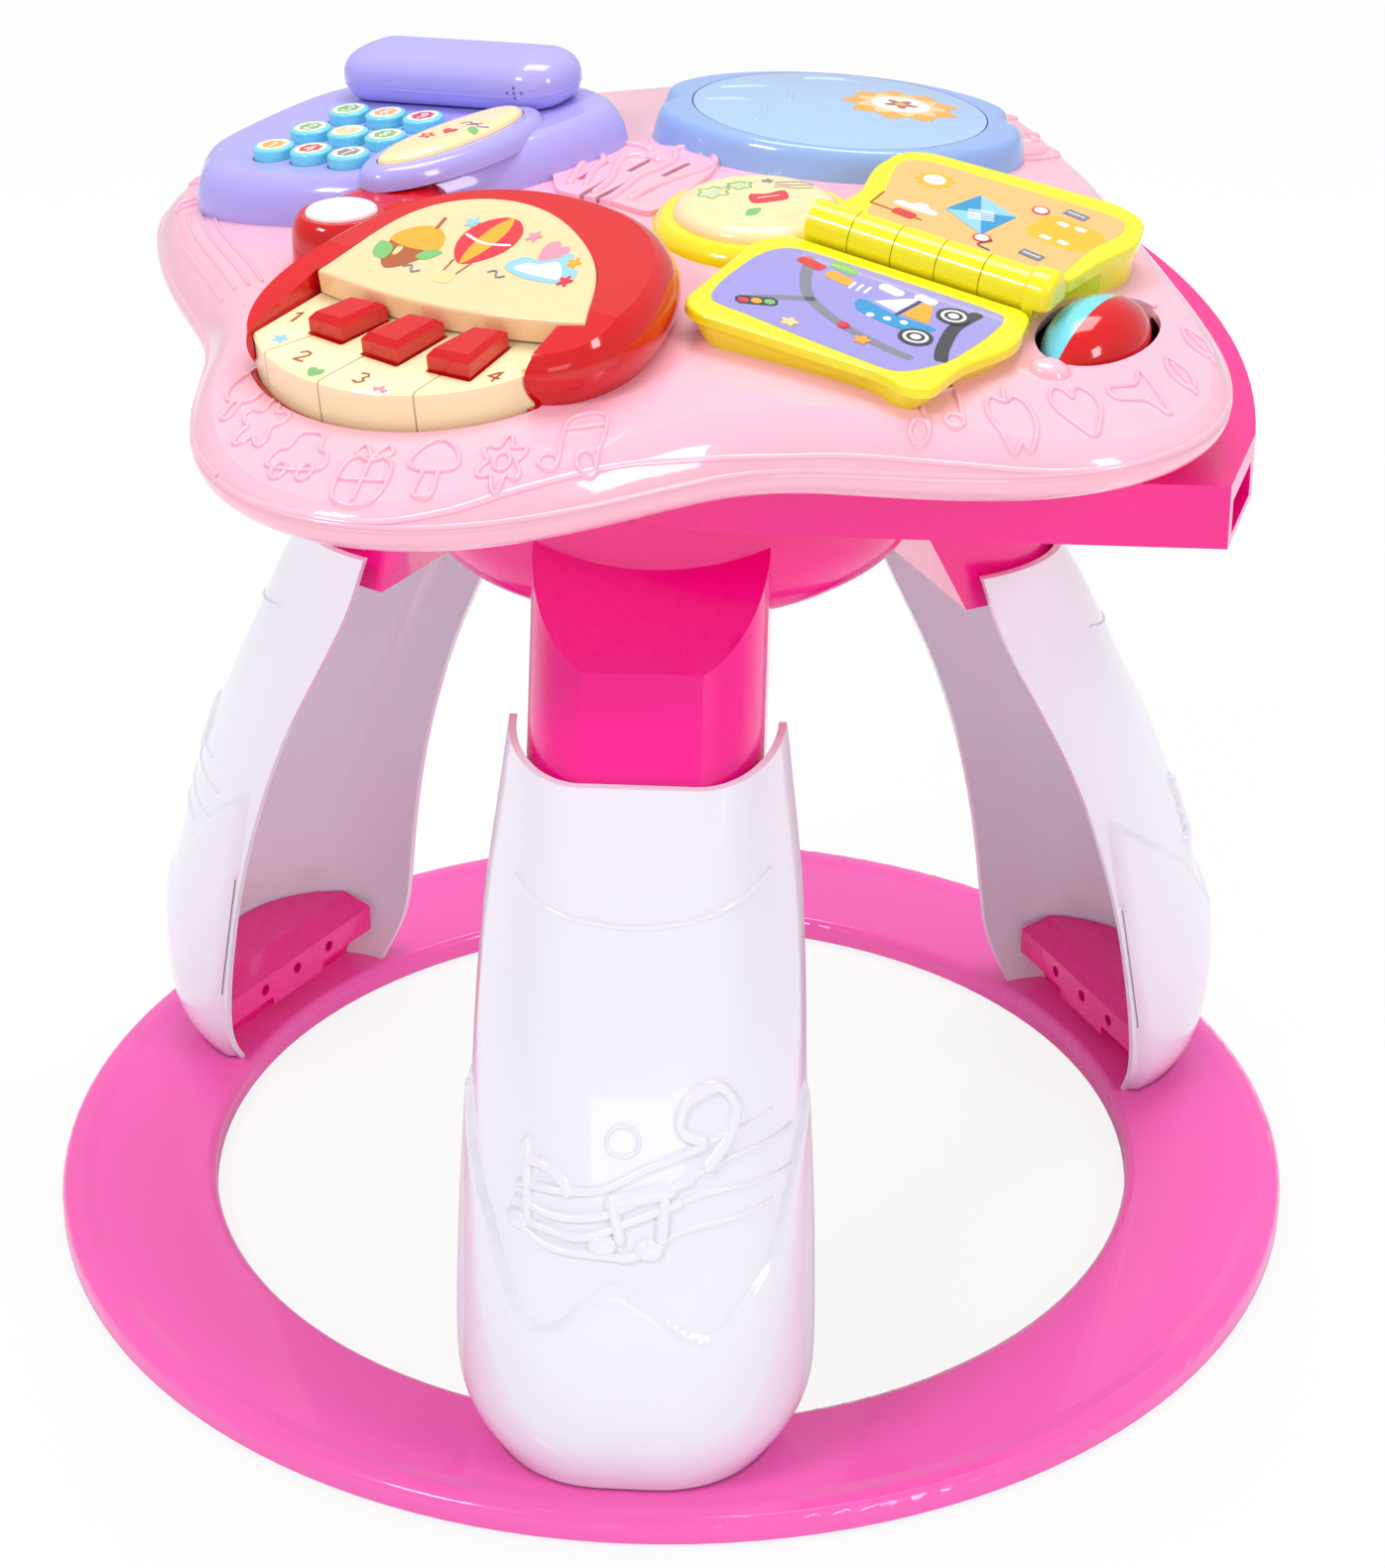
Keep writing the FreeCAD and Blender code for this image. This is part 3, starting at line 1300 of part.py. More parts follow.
def roller():
    frame = roller_frame()
    half = size("roller_length") / 2
    pin = size("roller_pin")
    for name, turn in (("blue", 180), ("red", 0)):
        shell = new_body("roller_half_" + name, frame * at(rotation=Rotation(Z, turn)))
        profile = [
            Part.Arc(flat(5, -half), flat(size("roller_radius"), 0), flat(5, half)),
            Part.LineSegment(flat(5, half), flat(pin + 0.05, half)),
            Part.LineSegment(flat(pin + 0.05, half), flat(pin + 0.05, -half)),
            Part.LineSegment(flat(pin + 0.05, -half), flat(5, -half)),
        ]
        turned = revolve(shell, profile)
        turned.Angle = 180
        keep(shell)
    keep(cylinder("roller_axle", "Sizes.roller_pin", 2 * half + 13, frame * at(z=-half - 6.5)))


# Lamp housing with its white button, and speaker grille

HOUSING_CENTRE = (-106, -14)
HOUSING_TURN = 54.6
LENS_CENTRE = (-116, -35)


def housing():
    x, y = HOUSING_CENTRE
    crown = dome_height(math.hypot(x, y))
    tall = size("knob_height")
    body = new_body("housing_tail", at(z=crown))
    levels = [(-8, 34, 20), (2, 34, 20), (tall * 0.5, 32.5, 18.5), (tall * 0.75, 28, 14.5),
              (tall * 0.86, 21, 9)]
    loft(body, [(height, oval(major, minor, x, y, HOUSING_TURN)) for height, major, minor in levels])
    turret = new_body("housing_turret", at(z=crown))
    lens_x, lens_y = LENS_CENTRE
    levels = [(-6, 19, 17), (4, 18.5, 16.5), (tall * 0.8, 17.5, 15.5), (tall, 15.5, 13)]
    loft(turret, [(height, oval(major, minor, lens_x, lens_y, 20)) for height, major, minor in levels])
    well = simple_pad("lens_well", oval(13.4, 10.9, lens_x, lens_y, 20), tall - 4.5, 20, at(z=crown))
    leaf_x, leaf_y = LEAF_CENTRE
    leaf_clear = simple_pad("leaf_clear", oval(LEAF_HALF[0] + 1, LEAF_HALF[1] + 1, leaf_x, leaf_y, LEAF_TURN),
                            size("phone_height") - 9, 30, lobe_frame(PHONE_LOBE))
    solid = fuse("housing_solid", body, turret)
    below_dome("lamp_housing", cut("housing_open", solid, well, leaf_clear))
    lens = new_body("lens_button", at(z=crown))
    levels = [(-2, 13, 10.5), (1, 13, 10.5), (2.2, 11, 8.6), (2.8, 7, 5)]
    loft(lens, [(tall + height, oval(major, minor, lens_x, lens_y, 20)) for height, major, minor in levels])
    keep(lens)


GRILLE_OUTLINE = [(-43, 17), (-46, 34), (-44, 50), (-33, 61), (-14, 67), (9, 63), (15, 48), (10, 26),
                  (2, 8), (-7, -6), (-24, 5)]
# Slots of the grille: centre, length and turn
GRILLE_SLOTS = [((-29, 17), 18, 62), ((-19, 19), 30, 58), ((-8, 15), 26, 60), ((-31, 36), 22, 66),
                ((-13, 44), 20, 62), ((0, 38), 18, 60)]


def grille_slot_cutters():
    cutters = []
    for (x, y), length, turn in GRILLE_SLOTS:
        place = at(x, y, 405, Rotation(Z, turn))
        cutters.append(simple_pad("grille_slot", rectangle(length, 2.4, 1.1), 0, 30, place))
    return group("grille_slots", cutters)


def grille(slots, neighbours):
    """Grille that fills the space between the toys around it."""
    blank = simple_pad("grille_blank", smooth(GRILLE_OUTLINE), 405, 30)
    raised = common("grille_raised", blank, ball("grille_crown", -2))
    below_dome("speaker_grille", cut("grille_open", raised, slots, *neighbours))


base_ring()
legs()
foot_blocks()
hub()
spindle()
swivel_arm()
grille_slots = grille_slot_cutters()
tray_top()
tray_bottom()
electrics()
drum_base = drum()
phone_base = telephone()
piano_case(lobe_frame(PIANO_LOBE))
piano_keys(lobe_frame(PIANO_LOBE))
book_base = book()
roller()
housing()
grille(grille_slots, [drum_base, phone_base, book_base])
doc.recompute()

failed = []
for item in doc.Objects:
    if "Invalid" in item.State or "Error" in item.State:
        failed.append(item.Label)
os.makedirs("parts", exist_ok=True)
for node in nodes:
    shape = node.Shape
    if shape.isNull() or not shape.isValid() or shape.Volume < 1:
        failed.append(node.Label)
if failed:
    raise RuntimeError("failed objects: " + ", ".join(failed))
for node in nodes:
    node.Shape.exportStep("parts/%s.step" % node.Label)
    box = node.Shape.BoundBox
    print("%-18s %d solids  %8.1f cm3  z %6.1f..%6.1f" % (
        node.Label, len(node.Shape.Solids), node.Shape.Volume / 1000, box.ZMin, box.ZMax))
print(len(nodes), "nodes")
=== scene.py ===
import math

import bmesh
import bpy
from mathutils import Matrix, Vector
from mathutils.bvhtree import BVHTree


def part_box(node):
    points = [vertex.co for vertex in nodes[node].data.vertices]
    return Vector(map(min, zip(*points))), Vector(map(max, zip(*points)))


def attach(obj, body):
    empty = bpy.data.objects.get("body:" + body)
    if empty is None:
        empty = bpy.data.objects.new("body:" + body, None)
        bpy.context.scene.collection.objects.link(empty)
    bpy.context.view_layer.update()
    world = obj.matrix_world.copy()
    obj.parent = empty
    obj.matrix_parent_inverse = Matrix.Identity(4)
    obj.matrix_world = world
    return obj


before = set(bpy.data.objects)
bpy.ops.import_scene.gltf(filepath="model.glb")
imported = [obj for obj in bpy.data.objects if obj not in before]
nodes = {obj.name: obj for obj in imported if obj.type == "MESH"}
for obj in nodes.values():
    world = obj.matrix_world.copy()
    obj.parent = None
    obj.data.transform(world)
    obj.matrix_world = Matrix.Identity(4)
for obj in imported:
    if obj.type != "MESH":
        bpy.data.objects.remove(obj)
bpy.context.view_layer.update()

# Camera, placed from the photograph's viewing angle
CAMERA_PLACE = (0.1102, -1.505, 1.0195)
CAMERA_PITCH = 0.5079
CAMERA_YAW = 0.0673
CAMERA_LENS = 100.5


def make_camera():
    data = bpy.data.cameras.new("camera")
    data.lens = CAMERA_LENS
    data.sensor_width = 36
    camera = bpy.data.objects.new("camera", data)
    bpy.context.scene.collection.objects.link(camera)
    camera.location = CAMERA_PLACE
    camera.rotation_euler = (math.pi / 2 - CAMERA_PITCH, 0, CAMERA_YAW)
    bpy.context.scene.camera = camera


# Stage: floor, world and lamps

WHITE = (1, 1, 1, 1)
SKY_TINT = (0.95, 0.97, 1.0, 1)
SKY_LIGHT = 0.56
FLOOR_PAINT = (0.93, 0.93, 0.94, 1)
FLOOR_SPAN = 6.0
FLOOR_DROP = 0.0005
# Share of plain white in what the camera sees of the floor, beside its lit paint
FLOOR_GLOW = 0.86
MIDDLE = (0, 0, 0.3)
# Name, place, target, width, height and power of each lamp
LAMPS = [
    ("key_lamp", (-1.3, -1.3, 2.1), MIDDLE, 0.6, 0.4, 19),
    ("fill_lamp", (1.7, -1.2, 1.4), MIDDLE, 0.4, 0.8, 11),
    ("top_lamp", (0.1, 0.5, 2.4), MIDDLE, 1.4, 0.9, 27),
    ("low_lamp", (0.2, -2.4, 0.5), (0, 0, 0.15), 1.2, 0.35, 2.6),
]


def make_world():
    world = bpy.data.worlds.new("studio")
    bpy.context.scene.world = world
    world.use_nodes = True
    tree = world.node_tree
    tree.nodes.clear()
    out = tree.nodes.new("ShaderNodeOutputWorld")
    light = tree.nodes.new("ShaderNodeBackground")
    light.inputs["Color"].default_value = SKY_TINT
    light.inputs["Strength"].default_value = SKY_LIGHT
    seen = tree.nodes.new("ShaderNodeBackground")
    seen.inputs["Color"].default_value = WHITE
    seen.inputs["Strength"].default_value = 1.0
    path = tree.nodes.new("ShaderNodeLightPath")
    mix = tree.nodes.new("ShaderNodeMixShader")
    tree.links.new(path.outputs["Is Camera Ray"], mix.inputs["Fac"])
    tree.links.new(light.outputs["Background"], mix.inputs[1])
    tree.links.new(seen.outputs["Background"], mix.inputs[2])
    tree.links.new(mix.outputs["Shader"], out.inputs["Surface"])


def make_floor():
    mesh = bpy.data.meshes.new("floor")
    corners = [(x * FLOOR_SPAN, y * FLOOR_SPAN, 0) for x, y in ((-1, -1), (1, -1), (1, 1), (-1, 1))]
    mesh.from_pydata(corners, [], [(0, 1, 2, 3)])
    floor = bpy.data.objects.new("floor", mesh)
    bpy.context.scene.collection.objects.link(floor)
    material = bpy.data.materials.new("floor_white")
    material.use_nodes = True
    tree = material.node_tree
    tree.nodes.clear()
    out = tree.nodes.new("ShaderNodeOutputMaterial")
    paint = tree.nodes.new("ShaderNodeBsdfDiffuse")
    paint.inputs["Color"].default_value = FLOOR_PAINT
    glow = tree.nodes.new("ShaderNodeEmission")
    glow.inputs["Color"].default_value = WHITE
    glow.inputs["Strength"].default_value = 1.0
    path = tree.nodes.new("ShaderNodeLightPath")
    share = tree.nodes.new("ShaderNodeMath")
    share.operation = "MULTIPLY"
    share.inputs[1].default_value = FLOOR_GLOW
    mix = tree.nodes.new("ShaderNodeMixShader")
    tree.links.new(path.outputs["Is Camera Ray"], share.inputs[0])
    tree.links.new(share.outputs["Value"], mix.inputs["Fac"])
    tree.links.new(paint.outputs["BSDF"], mix.inputs[1])
    tree.links.new(glow.outputs["Emission"], mix.inputs[2])
    tree.links.new(mix.outputs["Shader"], out.inputs["Surface"])
    mesh.materials.append(material)
    floor.location.z = -FLOOR_DROP


def area_lamp(name, place, target, width, height, power):
    data = bpy.data.lights.new(name, "AREA")
    data.shape = "RECTANGLE"
    data.size = width
    data.size_y = height
    data.energy = power
    lamp = bpy.data.objects.new(name, data)
    bpy.context.scene.collection.objects.link(lamp)
    lamp.location = place
    lamp.rotation_euler = (Vector(target) - Vector(place)).to_track_quat("-Z", "Y").to_euler()


# Materials

CLOUD_SCALE = 9
CLOUD_DETAIL = 3
GRAIN_SCALE = 90
GRAIN_DETAIL = 2
PEEL_DEPTH = 0.001
SHINE = 0.25
COAT = 0.75
COAT_ROUGHNESS = 0.03
PRINT_ROUGHNESS = 0.34


def plastic(name, color, roughness, speckle=0.012, bump=0.01):
    """Moulded plastic: a faint uneven tint, uneven gloss and a fine orange peel."""
    material = bpy.data.materials.new(name)
    material.use_nodes = True
    tree = material.node_tree
    shader = tree.nodes["Principled BSDF"]
    place = tree.nodes.new("ShaderNodeTexCoord")
    cloud = tree.nodes.new("ShaderNodeTexNoise")
    cloud.inputs["Scale"].default_value = CLOUD_SCALE
    cloud.inputs["Detail"].default_value = CLOUD_DETAIL
    tree.links.new(place.outputs["Object"], cloud.inputs["Vector"])
    tint = tree.nodes.new("ShaderNodeMix")
    tint.data_type = "RGBA"
    low = [c * (1 - speckle) for c in color]
    high = [min(1.0, c * (1 + speckle)) for c in color]
    tint.inputs["A"].default_value = (*low, 1)
    tint.inputs["B"].default_value = (*high, 1)
    tree.links.new(cloud.outputs["Fac"], tint.inputs["Factor"])
    tree.links.new(tint.outputs["Result"], shader.inputs["Base Color"])
    grain = tree.nodes.new("ShaderNodeTexNoise")
    grain.inputs["Scale"].default_value = GRAIN_SCALE
    grain.inputs["Detail"].default_value = GRAIN_DETAIL
    tree.links.new(place.outputs["Object"], grain.inputs["Vector"])
    gloss = tree.nodes.new("ShaderNodeMapRange")
    gloss.inputs["To Min"].default_value = roughness * 0.8
    gloss.inputs["To Max"].default_value = roughness * 1.25
    tree.links.new(grain.outputs["Fac"], gloss.inputs["Value"])
    tree.links.new(gloss.outputs["Result"], shader.inputs["Roughness"])
    peel = tree.nodes.new("ShaderNodeBump")
    peel.inputs["Strength"].default_value = bump
    peel.inputs["Distance"].default_value = PEEL_DEPTH
    tree.links.new(grain.outputs["Fac"], peel.inputs["Height"])
    tree.links.new(peel.outputs["Normal"], shader.inputs["Normal"])
    shader.inputs["Specular IOR Level"].default_value = SHINE
    shader.inputs["Coat Weight"].default_value = COAT
    shader.inputs["Coat Roughness"].default_value = COAT_ROUGHNESS
    return material


def steel(name):
    material = plastic(name, (0.72, 0.72, 0.74), 0.3, 0.03, 0.03)
    shader = material.node_tree.nodes["Principled BSDF"]
    shader.inputs["Metallic"].default_value = 1.0
    shader.inputs["Coat Weight"].default_value = 0.0
    return material


def srgb(red, green, blue):
    """Linear colour from display values of 0 to 255."""
    def linear(value):
        value = value / 255
        return value / 12.92 if value <= 0.04045 else ((value + 0.055) / 1.055) ** 2.4
    return (linear(red), linear(green), linear(blue))


paints = {
    "ring": plastic("ring_pink", srgb(255, 100, 190), 0.24),
    "magenta": plastic("magenta", srgb(254, 6, 146), 0.26),
    "leg": plastic("leg_white", srgb(240, 237, 245), 0.2),
    "tray": plastic("tray_pink", srgb(251, 187, 205), 0.24),
    "violet": plastic("violet", srgb(178, 168, 242), 0.2),
    "blue": plastic("blue", srgb(148, 180, 238), 0.2),
    "pad": plastic("drum_pad_blue", srgb(170, 202, 244), 0.22),
    "red": plastic("red", srgb(212, 8, 14), 0.14),
    "cream": plastic("cream", srgb(253, 228, 174), 0.26),
    "peach": plastic("panel_peach", srgb(250, 214, 164), 0.2),
    "ivory": plastic("ivory", srgb(254, 240, 192), 0.22),
    "yellow": plastic("yellow", srgb(244, 232, 28), 0.2),
    "light_blue": plastic("light_blue", srgb(120, 216, 238), 0.2),
    "white": plastic("lens_white", srgb(246, 243, 248), 0.16),
    "grey": plastic("grey_plastic", srgb(150, 150, 156), 0.45),
    "dark": plastic("dark_plastic", srgb(38, 38, 42), 0.4),
    "rubber": plastic("rubber", srgb(70, 70, 74), 0.7),
    "steel": steel("steel"),
    "board": plastic("board_green", srgb(24, 110, 62), 0.4),
    "cell": plastic("cell_jacket", srgb(60, 66, 84), 0.3),
    "violet_deep": plastic("violet_deep", srgb(120, 108, 206), 0.3),
}

INKS = {
    "brown": (176, 92, 40), "tan": (250, 214, 150), "red": (222, 44, 62),
    "orange": (250, 172, 36), "white": (250, 248, 246), "sky": (150, 208, 232),
    "pink": (244, 150, 170), "grey": (132, 132, 146), "green": (126, 190, 110),
    "violet": (166, 110, 190), "lilac": (158, 150, 218), "dark": (58, 58, 66),
    "blue": (34, 150, 204), "peach": (252, 190, 116), "amber": (254, 188, 20),
    "mint": (196, 232, 190), "cream": (250, 240, 214),
}
for ink, shade in INKS.items():
    paints["ink_" + ink] = plastic("ink_" + ink, srgb(*shade), PRINT_ROUGHNESS)

NODE_PAINTS = {
    "base_ring": "ring", "ring_pads": "rubber", "foot_screws": "steel",
    "leg_front": "leg", "leg_right": "leg", "leg_left": "leg", "leg_screws": "steel",
    "foot_block_front": "magenta", "foot_block_right": "magenta", "foot_block_left": "magenta",
    "hub": "magenta", "spindle": "grey", "spindle_screws": "steel",
    "arm_lower": "magenta", "arm_cover": "magenta",
    "tray_top": "tray", "tray_bottom": "tray", "tray_screws": "steel",
    "battery_door_panel": "tray", "battery_box": "dark", "door_screw": "steel",
    "batteries": "cell", "circuit_board": "board", "speaker_driver": "dark",
    "speaker_stand": "grey", "power_switch": "dark",
    "drum_base": "blue", "drum_pad": "pad", "phone_base": "violet", "leaf_button": "cream",
    "handset": "violet", "piano_case": "red", "piano_panel": "peach",
    "book_base": "yellow", "book_page": "yellow", "book_pin": "steel", "round_button": "cream",
    "roller_half_blue": "light_blue", "roller_half_red": "red", "roller_axle": "steel",
    "lamp_housing": "red", "lens_button": "white", "speaker_grille": "tray",
}
for number in range(1, 10):
    NODE_PAINTS["phone_key_%d" % number] = "light_blue"
for number in range(1, 5):
    NODE_PAINTS["white_key_%d" % number] = "ivory"
for number in range(1, 4):
    NODE_PAINTS["red_key_%d" % number] = "red"


def dress_nodes():
    """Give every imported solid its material."""
    for name, item in nodes.items():
        item.data.materials.clear()
        item.data.materials.append(paints[NODE_PAINTS[name]])


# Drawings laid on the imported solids, in millimetres

MM = 0.001
UPWARDS = Vector((0, 0, 1))
LOBE_RADIUS = 125
DOME_TOP = 421
DOME_BALL = 1000
OVER_TRAY = (0, 0, 440)


def aim_down(centre, across, up, height=60):
    """Rays onto a drawing plane that lies at a centre, with its two drawing directions."""
    across, up = Vector(across), Vector(up)
    normal = across.cross(up)

    def aim(a, b):
        return Vector(centre) * MM + (across * a + up * b + normal * height) * MM, -normal
    return aim


def lobe_axes(azimuth, turn=0.0):
    """Centre, two directions in the lobe's plane and its outward normal."""
    angle, tilt, spin = math.radians(azimuth), math.asin(LOBE_RADIUS / DOME_BALL), math.radians(turn)
    flat = Vector((math.cos(angle), math.sin(angle), 0))
    normal = flat * math.sin(tilt) + UPWARDS * math.cos(tilt)
    side = Vector((math.sin(angle), -math.cos(angle), 0))
    out = normal.cross(side)
    height = DOME_TOP - DOME_BALL + math.sqrt(DOME_BALL ** 2 - LOBE_RADIUS ** 2)
    return (flat * LOBE_RADIUS + UPWARDS * height, side * math.cos(spin) + out * math.sin(spin),
            out * math.cos(spin) - side * math.sin(spin), normal)


def aim_lobe(azimuth, turn=0.0):
    centre, side, out, _ = lobe_axes(azimuth, turn)
    return aim_down(centre, side, out)


# Drawing millimetres to a radian round a leg, and the leg's axis: its place at the floor and its lean
LEG_ROUND = 62
LEG_FOOT = 192
LEG_LEAN = 0.17
LEG_REACH = 120


def aim_leg(azimuth):
    """Rays round a leg: the first number runs round it, the second is the height."""
    turned = Matrix.Rotation(math.radians(azimuth + 90), 3, "Z")

    def aim(a, b):
        angle = a / LEG_ROUND
        out = turned @ Vector((math.sin(angle), -math.cos(angle), 0))
        axis = turned @ Vector((0, -(LEG_FOOT - LEG_LEAN * b), b))
        return (axis + out * LEG_REACH) * MM, -out
    return aim


def aim_inwards(azimuth, height):
    """Level rays to the tray's middle: the first number is the azimuth, the second the height."""
    out = Vector((math.cos(math.radians(azimuth)), math.sin(math.radians(azimuth)), 0))
    return (out * 300 + UPWARDS * height) * MM, -out


# Sections of a strip, from edge to edge: share of the half width and of the height
BEAD = ((-1, -0.3), (-0.75, 0.62), (-0.4, 0.93), (0, 1), (0.4, 0.93), (0.75, 0.62), (1, -0.3))
FLAT = ((-1, -1.5), (-0.97, 1), (0, 1), (0.97, 1), (1, -1.5))
END_STEPS = (0.5, 0.87, 1.0)
PRINT_LIFT = 0.1
PRINT_STEP = 0.02
PRINT_SINK = 0.2
DOME_STEPS = 8
DOME_SINK = 0.5
SHARP_ANGLE = math.radians(50)


def dome_under(start):
    """The tray's dome under a point, for what spans openings in it."""
    flat = Vector((start.x, start.y)).length / MM
    return Vector((start.x, start.y, (DOME_TOP - DOME_BALL + math.sqrt(DOME_BALL ** 2 - flat ** 2)) * MM))


class Drawing:
    """Beads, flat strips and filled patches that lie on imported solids, as one mesh."""

    def __init__(self, name, body, names, aim, colours, reach=0.5):
        mesh = bmesh.new()
        for node in names:
            mesh.from_mesh(nodes[node].data)
        self.tree = BVHTree.FromBMesh(mesh) if names else None
        mesh.free()
        self.name, self.body, self.aim, self.colours = name, body, aim, colours
        self.points, self.faces, self.slots = [], [], []
        self.reach = reach
        self.lift = PRINT_LIFT

    def place(self, a, b, lift):
        """Adds the point of the surface under a drawing point and gives its number, or None."""
        start, way = self.aim(a, b)
        found = self.tree.ray_cast(start, way, self.reach)[0] if self.tree else dome_under(start)
        if found is None:
            return None
        self.points.append(found - way * lift * MM)
        return len(self.points) - 1

    def face(self, corners, colour):
        if None not in corners:
            self.faces.append(corners)
            self.slots.append(self.colours.index(colour))

    def grid(self, rows, colour, ring=False):
        """Faces between rows of placed points."""
        pairs = list(zip(rows, rows[1:] + rows[:1])) if ring else list(zip(rows, rows[1:]))
        for low, high in pairs:
            for k in range(len(low) - 1):
                self.face((low[k], low[k + 1], high[k + 1], high[k]), colour)

    def strip(self, line, half_width, height, colour, closed=False, profile=BEAD):
        """A bead or flat strip along a line of drawing points, with round ends."""
        line = [Vector(point) for point in line]
        count = len(line)
        rows = []
        for k, point in enumerate(line):
            after = line[(k + 1) % count] if closed or k + 1 < count else point
            before = line[k - 1] if closed or k else point
            along = (after - before).normalized()
            rows.append((point, along, 1.0, 1.0))
        if not closed:
            head, tail = rows[0], rows[-1]
            for step in END_STEPS:
                share = math.sqrt(1 - step * step)
                tall = (share if profile is BEAD else 1.0) if share else profile[0][1]
                rows.insert(0, (head[0] - head[1] * half_width * step, head[1], share, tall))
                rows.append((tail[0] + tail[1] * half_width * step, tail[1], share, tall))
        placed = []
        for point, along, share, tall in rows:
            side = Vector((along.y, -along.x)) * half_width * max(share, 0.02)
            placed.append([self.place(*(point + side * across), height * (up * tall if up > 0 else up))
                           for across, up in profile])
        self.grid(placed, colour, closed)

    def line(self, line, width, colour, closed=False):
        """A printed line."""
        self.strip(line, width / 2, self.lift, colour, closed, FLAT)

    def patch(self, outline, colour, step=2.5):
        """A printed area round its middle."""
        outline = [Vector(point) for point in outline]
        middle = sum(outline, Vector((0, 0))) / len(outline)
        reach = max((point - middle).length for point in outline)
        rings = max(1, math.ceil(reach / step))
        rows = []
        for ring in range(1, rings + 1):
            rows.append([self.place(*middle.lerp(point, ring / rings), self.lift) for point in outline])
        rows.append([self.place(*point, -PRINT_SINK) for point in outline])
        top = self.place(*middle, self.lift)
        for row in rows:
            row.append(row[0])
        for k in range(len(outline)):
            self.face((top, rows[0][k], rows[0][k + 1]), colour)
        self.grid(rows, colour)
        self.lift += PRINT_STEP

    def dome(self, outline, height, colour):
        """A rounded bump over an area."""
        middle = sum((Vector(point) for point in outline), Vector((0, 0))) / len(outline)
        rows = []
        for step in range(1, DOME_STEPS + 1):
            part = step / DOME_STEPS
            tall = height * math.sqrt(1 - part * part) if step < DOME_STEPS else -DOME_SINK
            rows.append([self.place(*middle.lerp(Vector(point), part), tall) for point in outline])
        top = self.place(*middle, height)
        for row in rows:
            row.append(row[0])
        for k in range(len(outline)):
            self.face((top, rows[0][k], rows[0][k + 1]), colour)
        self.grid(rows, colour)

    def make(self):
        """Builds the mesh and lets it ride on its body."""
        mesh = bpy.data.meshes.new(self.name)
        mesh.from_pydata(self.points, [], self.faces)
        shape = bmesh.new()
        shape.from_mesh(mesh)
        bmesh.ops.recalc_face_normals(shape, faces=shape.faces)
        shape.to_mesh(mesh)
        shape.free()
        for colour in self.colours:
            mesh.materials.append(paints[colour])
        mesh.polygons.foreach_set("material_index", self.slots)
        mesh.shade_smooth()
        mesh.set_sharp_from_angle(angle=SHARP_ANGLE)
        item = bpy.data.objects.new(self.name, mesh)
        bpy.context.scene.collection.objects.link(item)
        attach(item, self.body)
        return item


def smooth(points, closed=False, step=1.2):
    """Points of a rounded line through the given ones."""
    count = len(points)
    line = []
    for k in range(count if closed else count - 1):
        near = [k - 1, k, k + 1, k + 2]
        near = [n % count for n in near] if closed else [min(max(n, 0), count - 1) for n in near]
        p, q, r, s = (Vector(points[n]) for n in near)
        pieces = max(1, round((r - q).length / step))
        for piece in range(pieces):
            t = piece / pieces
            line.append(0.5 * (2 * q + (r - p) * t + (2 * p - 5 * q + 4 * r - s) * t * t
                               + (3 * q - p - 3 * r + s) * t ** 3))
    if not closed:
        line.append(Vector(points[-1]))
    return line


def edges(points, closed=False, step=1.5):
    """Points of a line with corners."""
    corners = [Vector(point) for point in points]
    line = []
    ends = zip(corners, corners[1:] + corners[:1]) if closed else zip(corners, corners[1:])
    for start, end in ends:
        pieces = max(1, round((end - start).length / step))
        line += [start.lerp(end, piece / pieces) for piece in range(pieces)]
    return line if closed else line + [corners[-1]]


def around(radius_at, count=36):
    """A closed outline from its radius at each angle."""
    turns = [2 * math.pi * k / count for k in range(count)]
    return [(radius_at(t) * math.sin(t), radius_at(t) * math.cos(t)) for t in turns]


def disc(radius):
    return around(lambda t: radius, max(12, round(radius * 5)))


def flower(radius, petals=5, depth=0.22):
    return around(lambda t: radius * (1 - depth + depth * math.cos(petals * t)), 60)


def box_outline(width, height, corner=0.0):
    """A rectangle with clipped corners round the drawing middle."""
    w, h, c = width / 2, height / 2, corner
    return [(-w + c, -h), (w - c, -h), (w, -h + c), (w, h - c), (w - c, h), (-w + c, h), (-w, h - c),
            (-w, -h + c)]


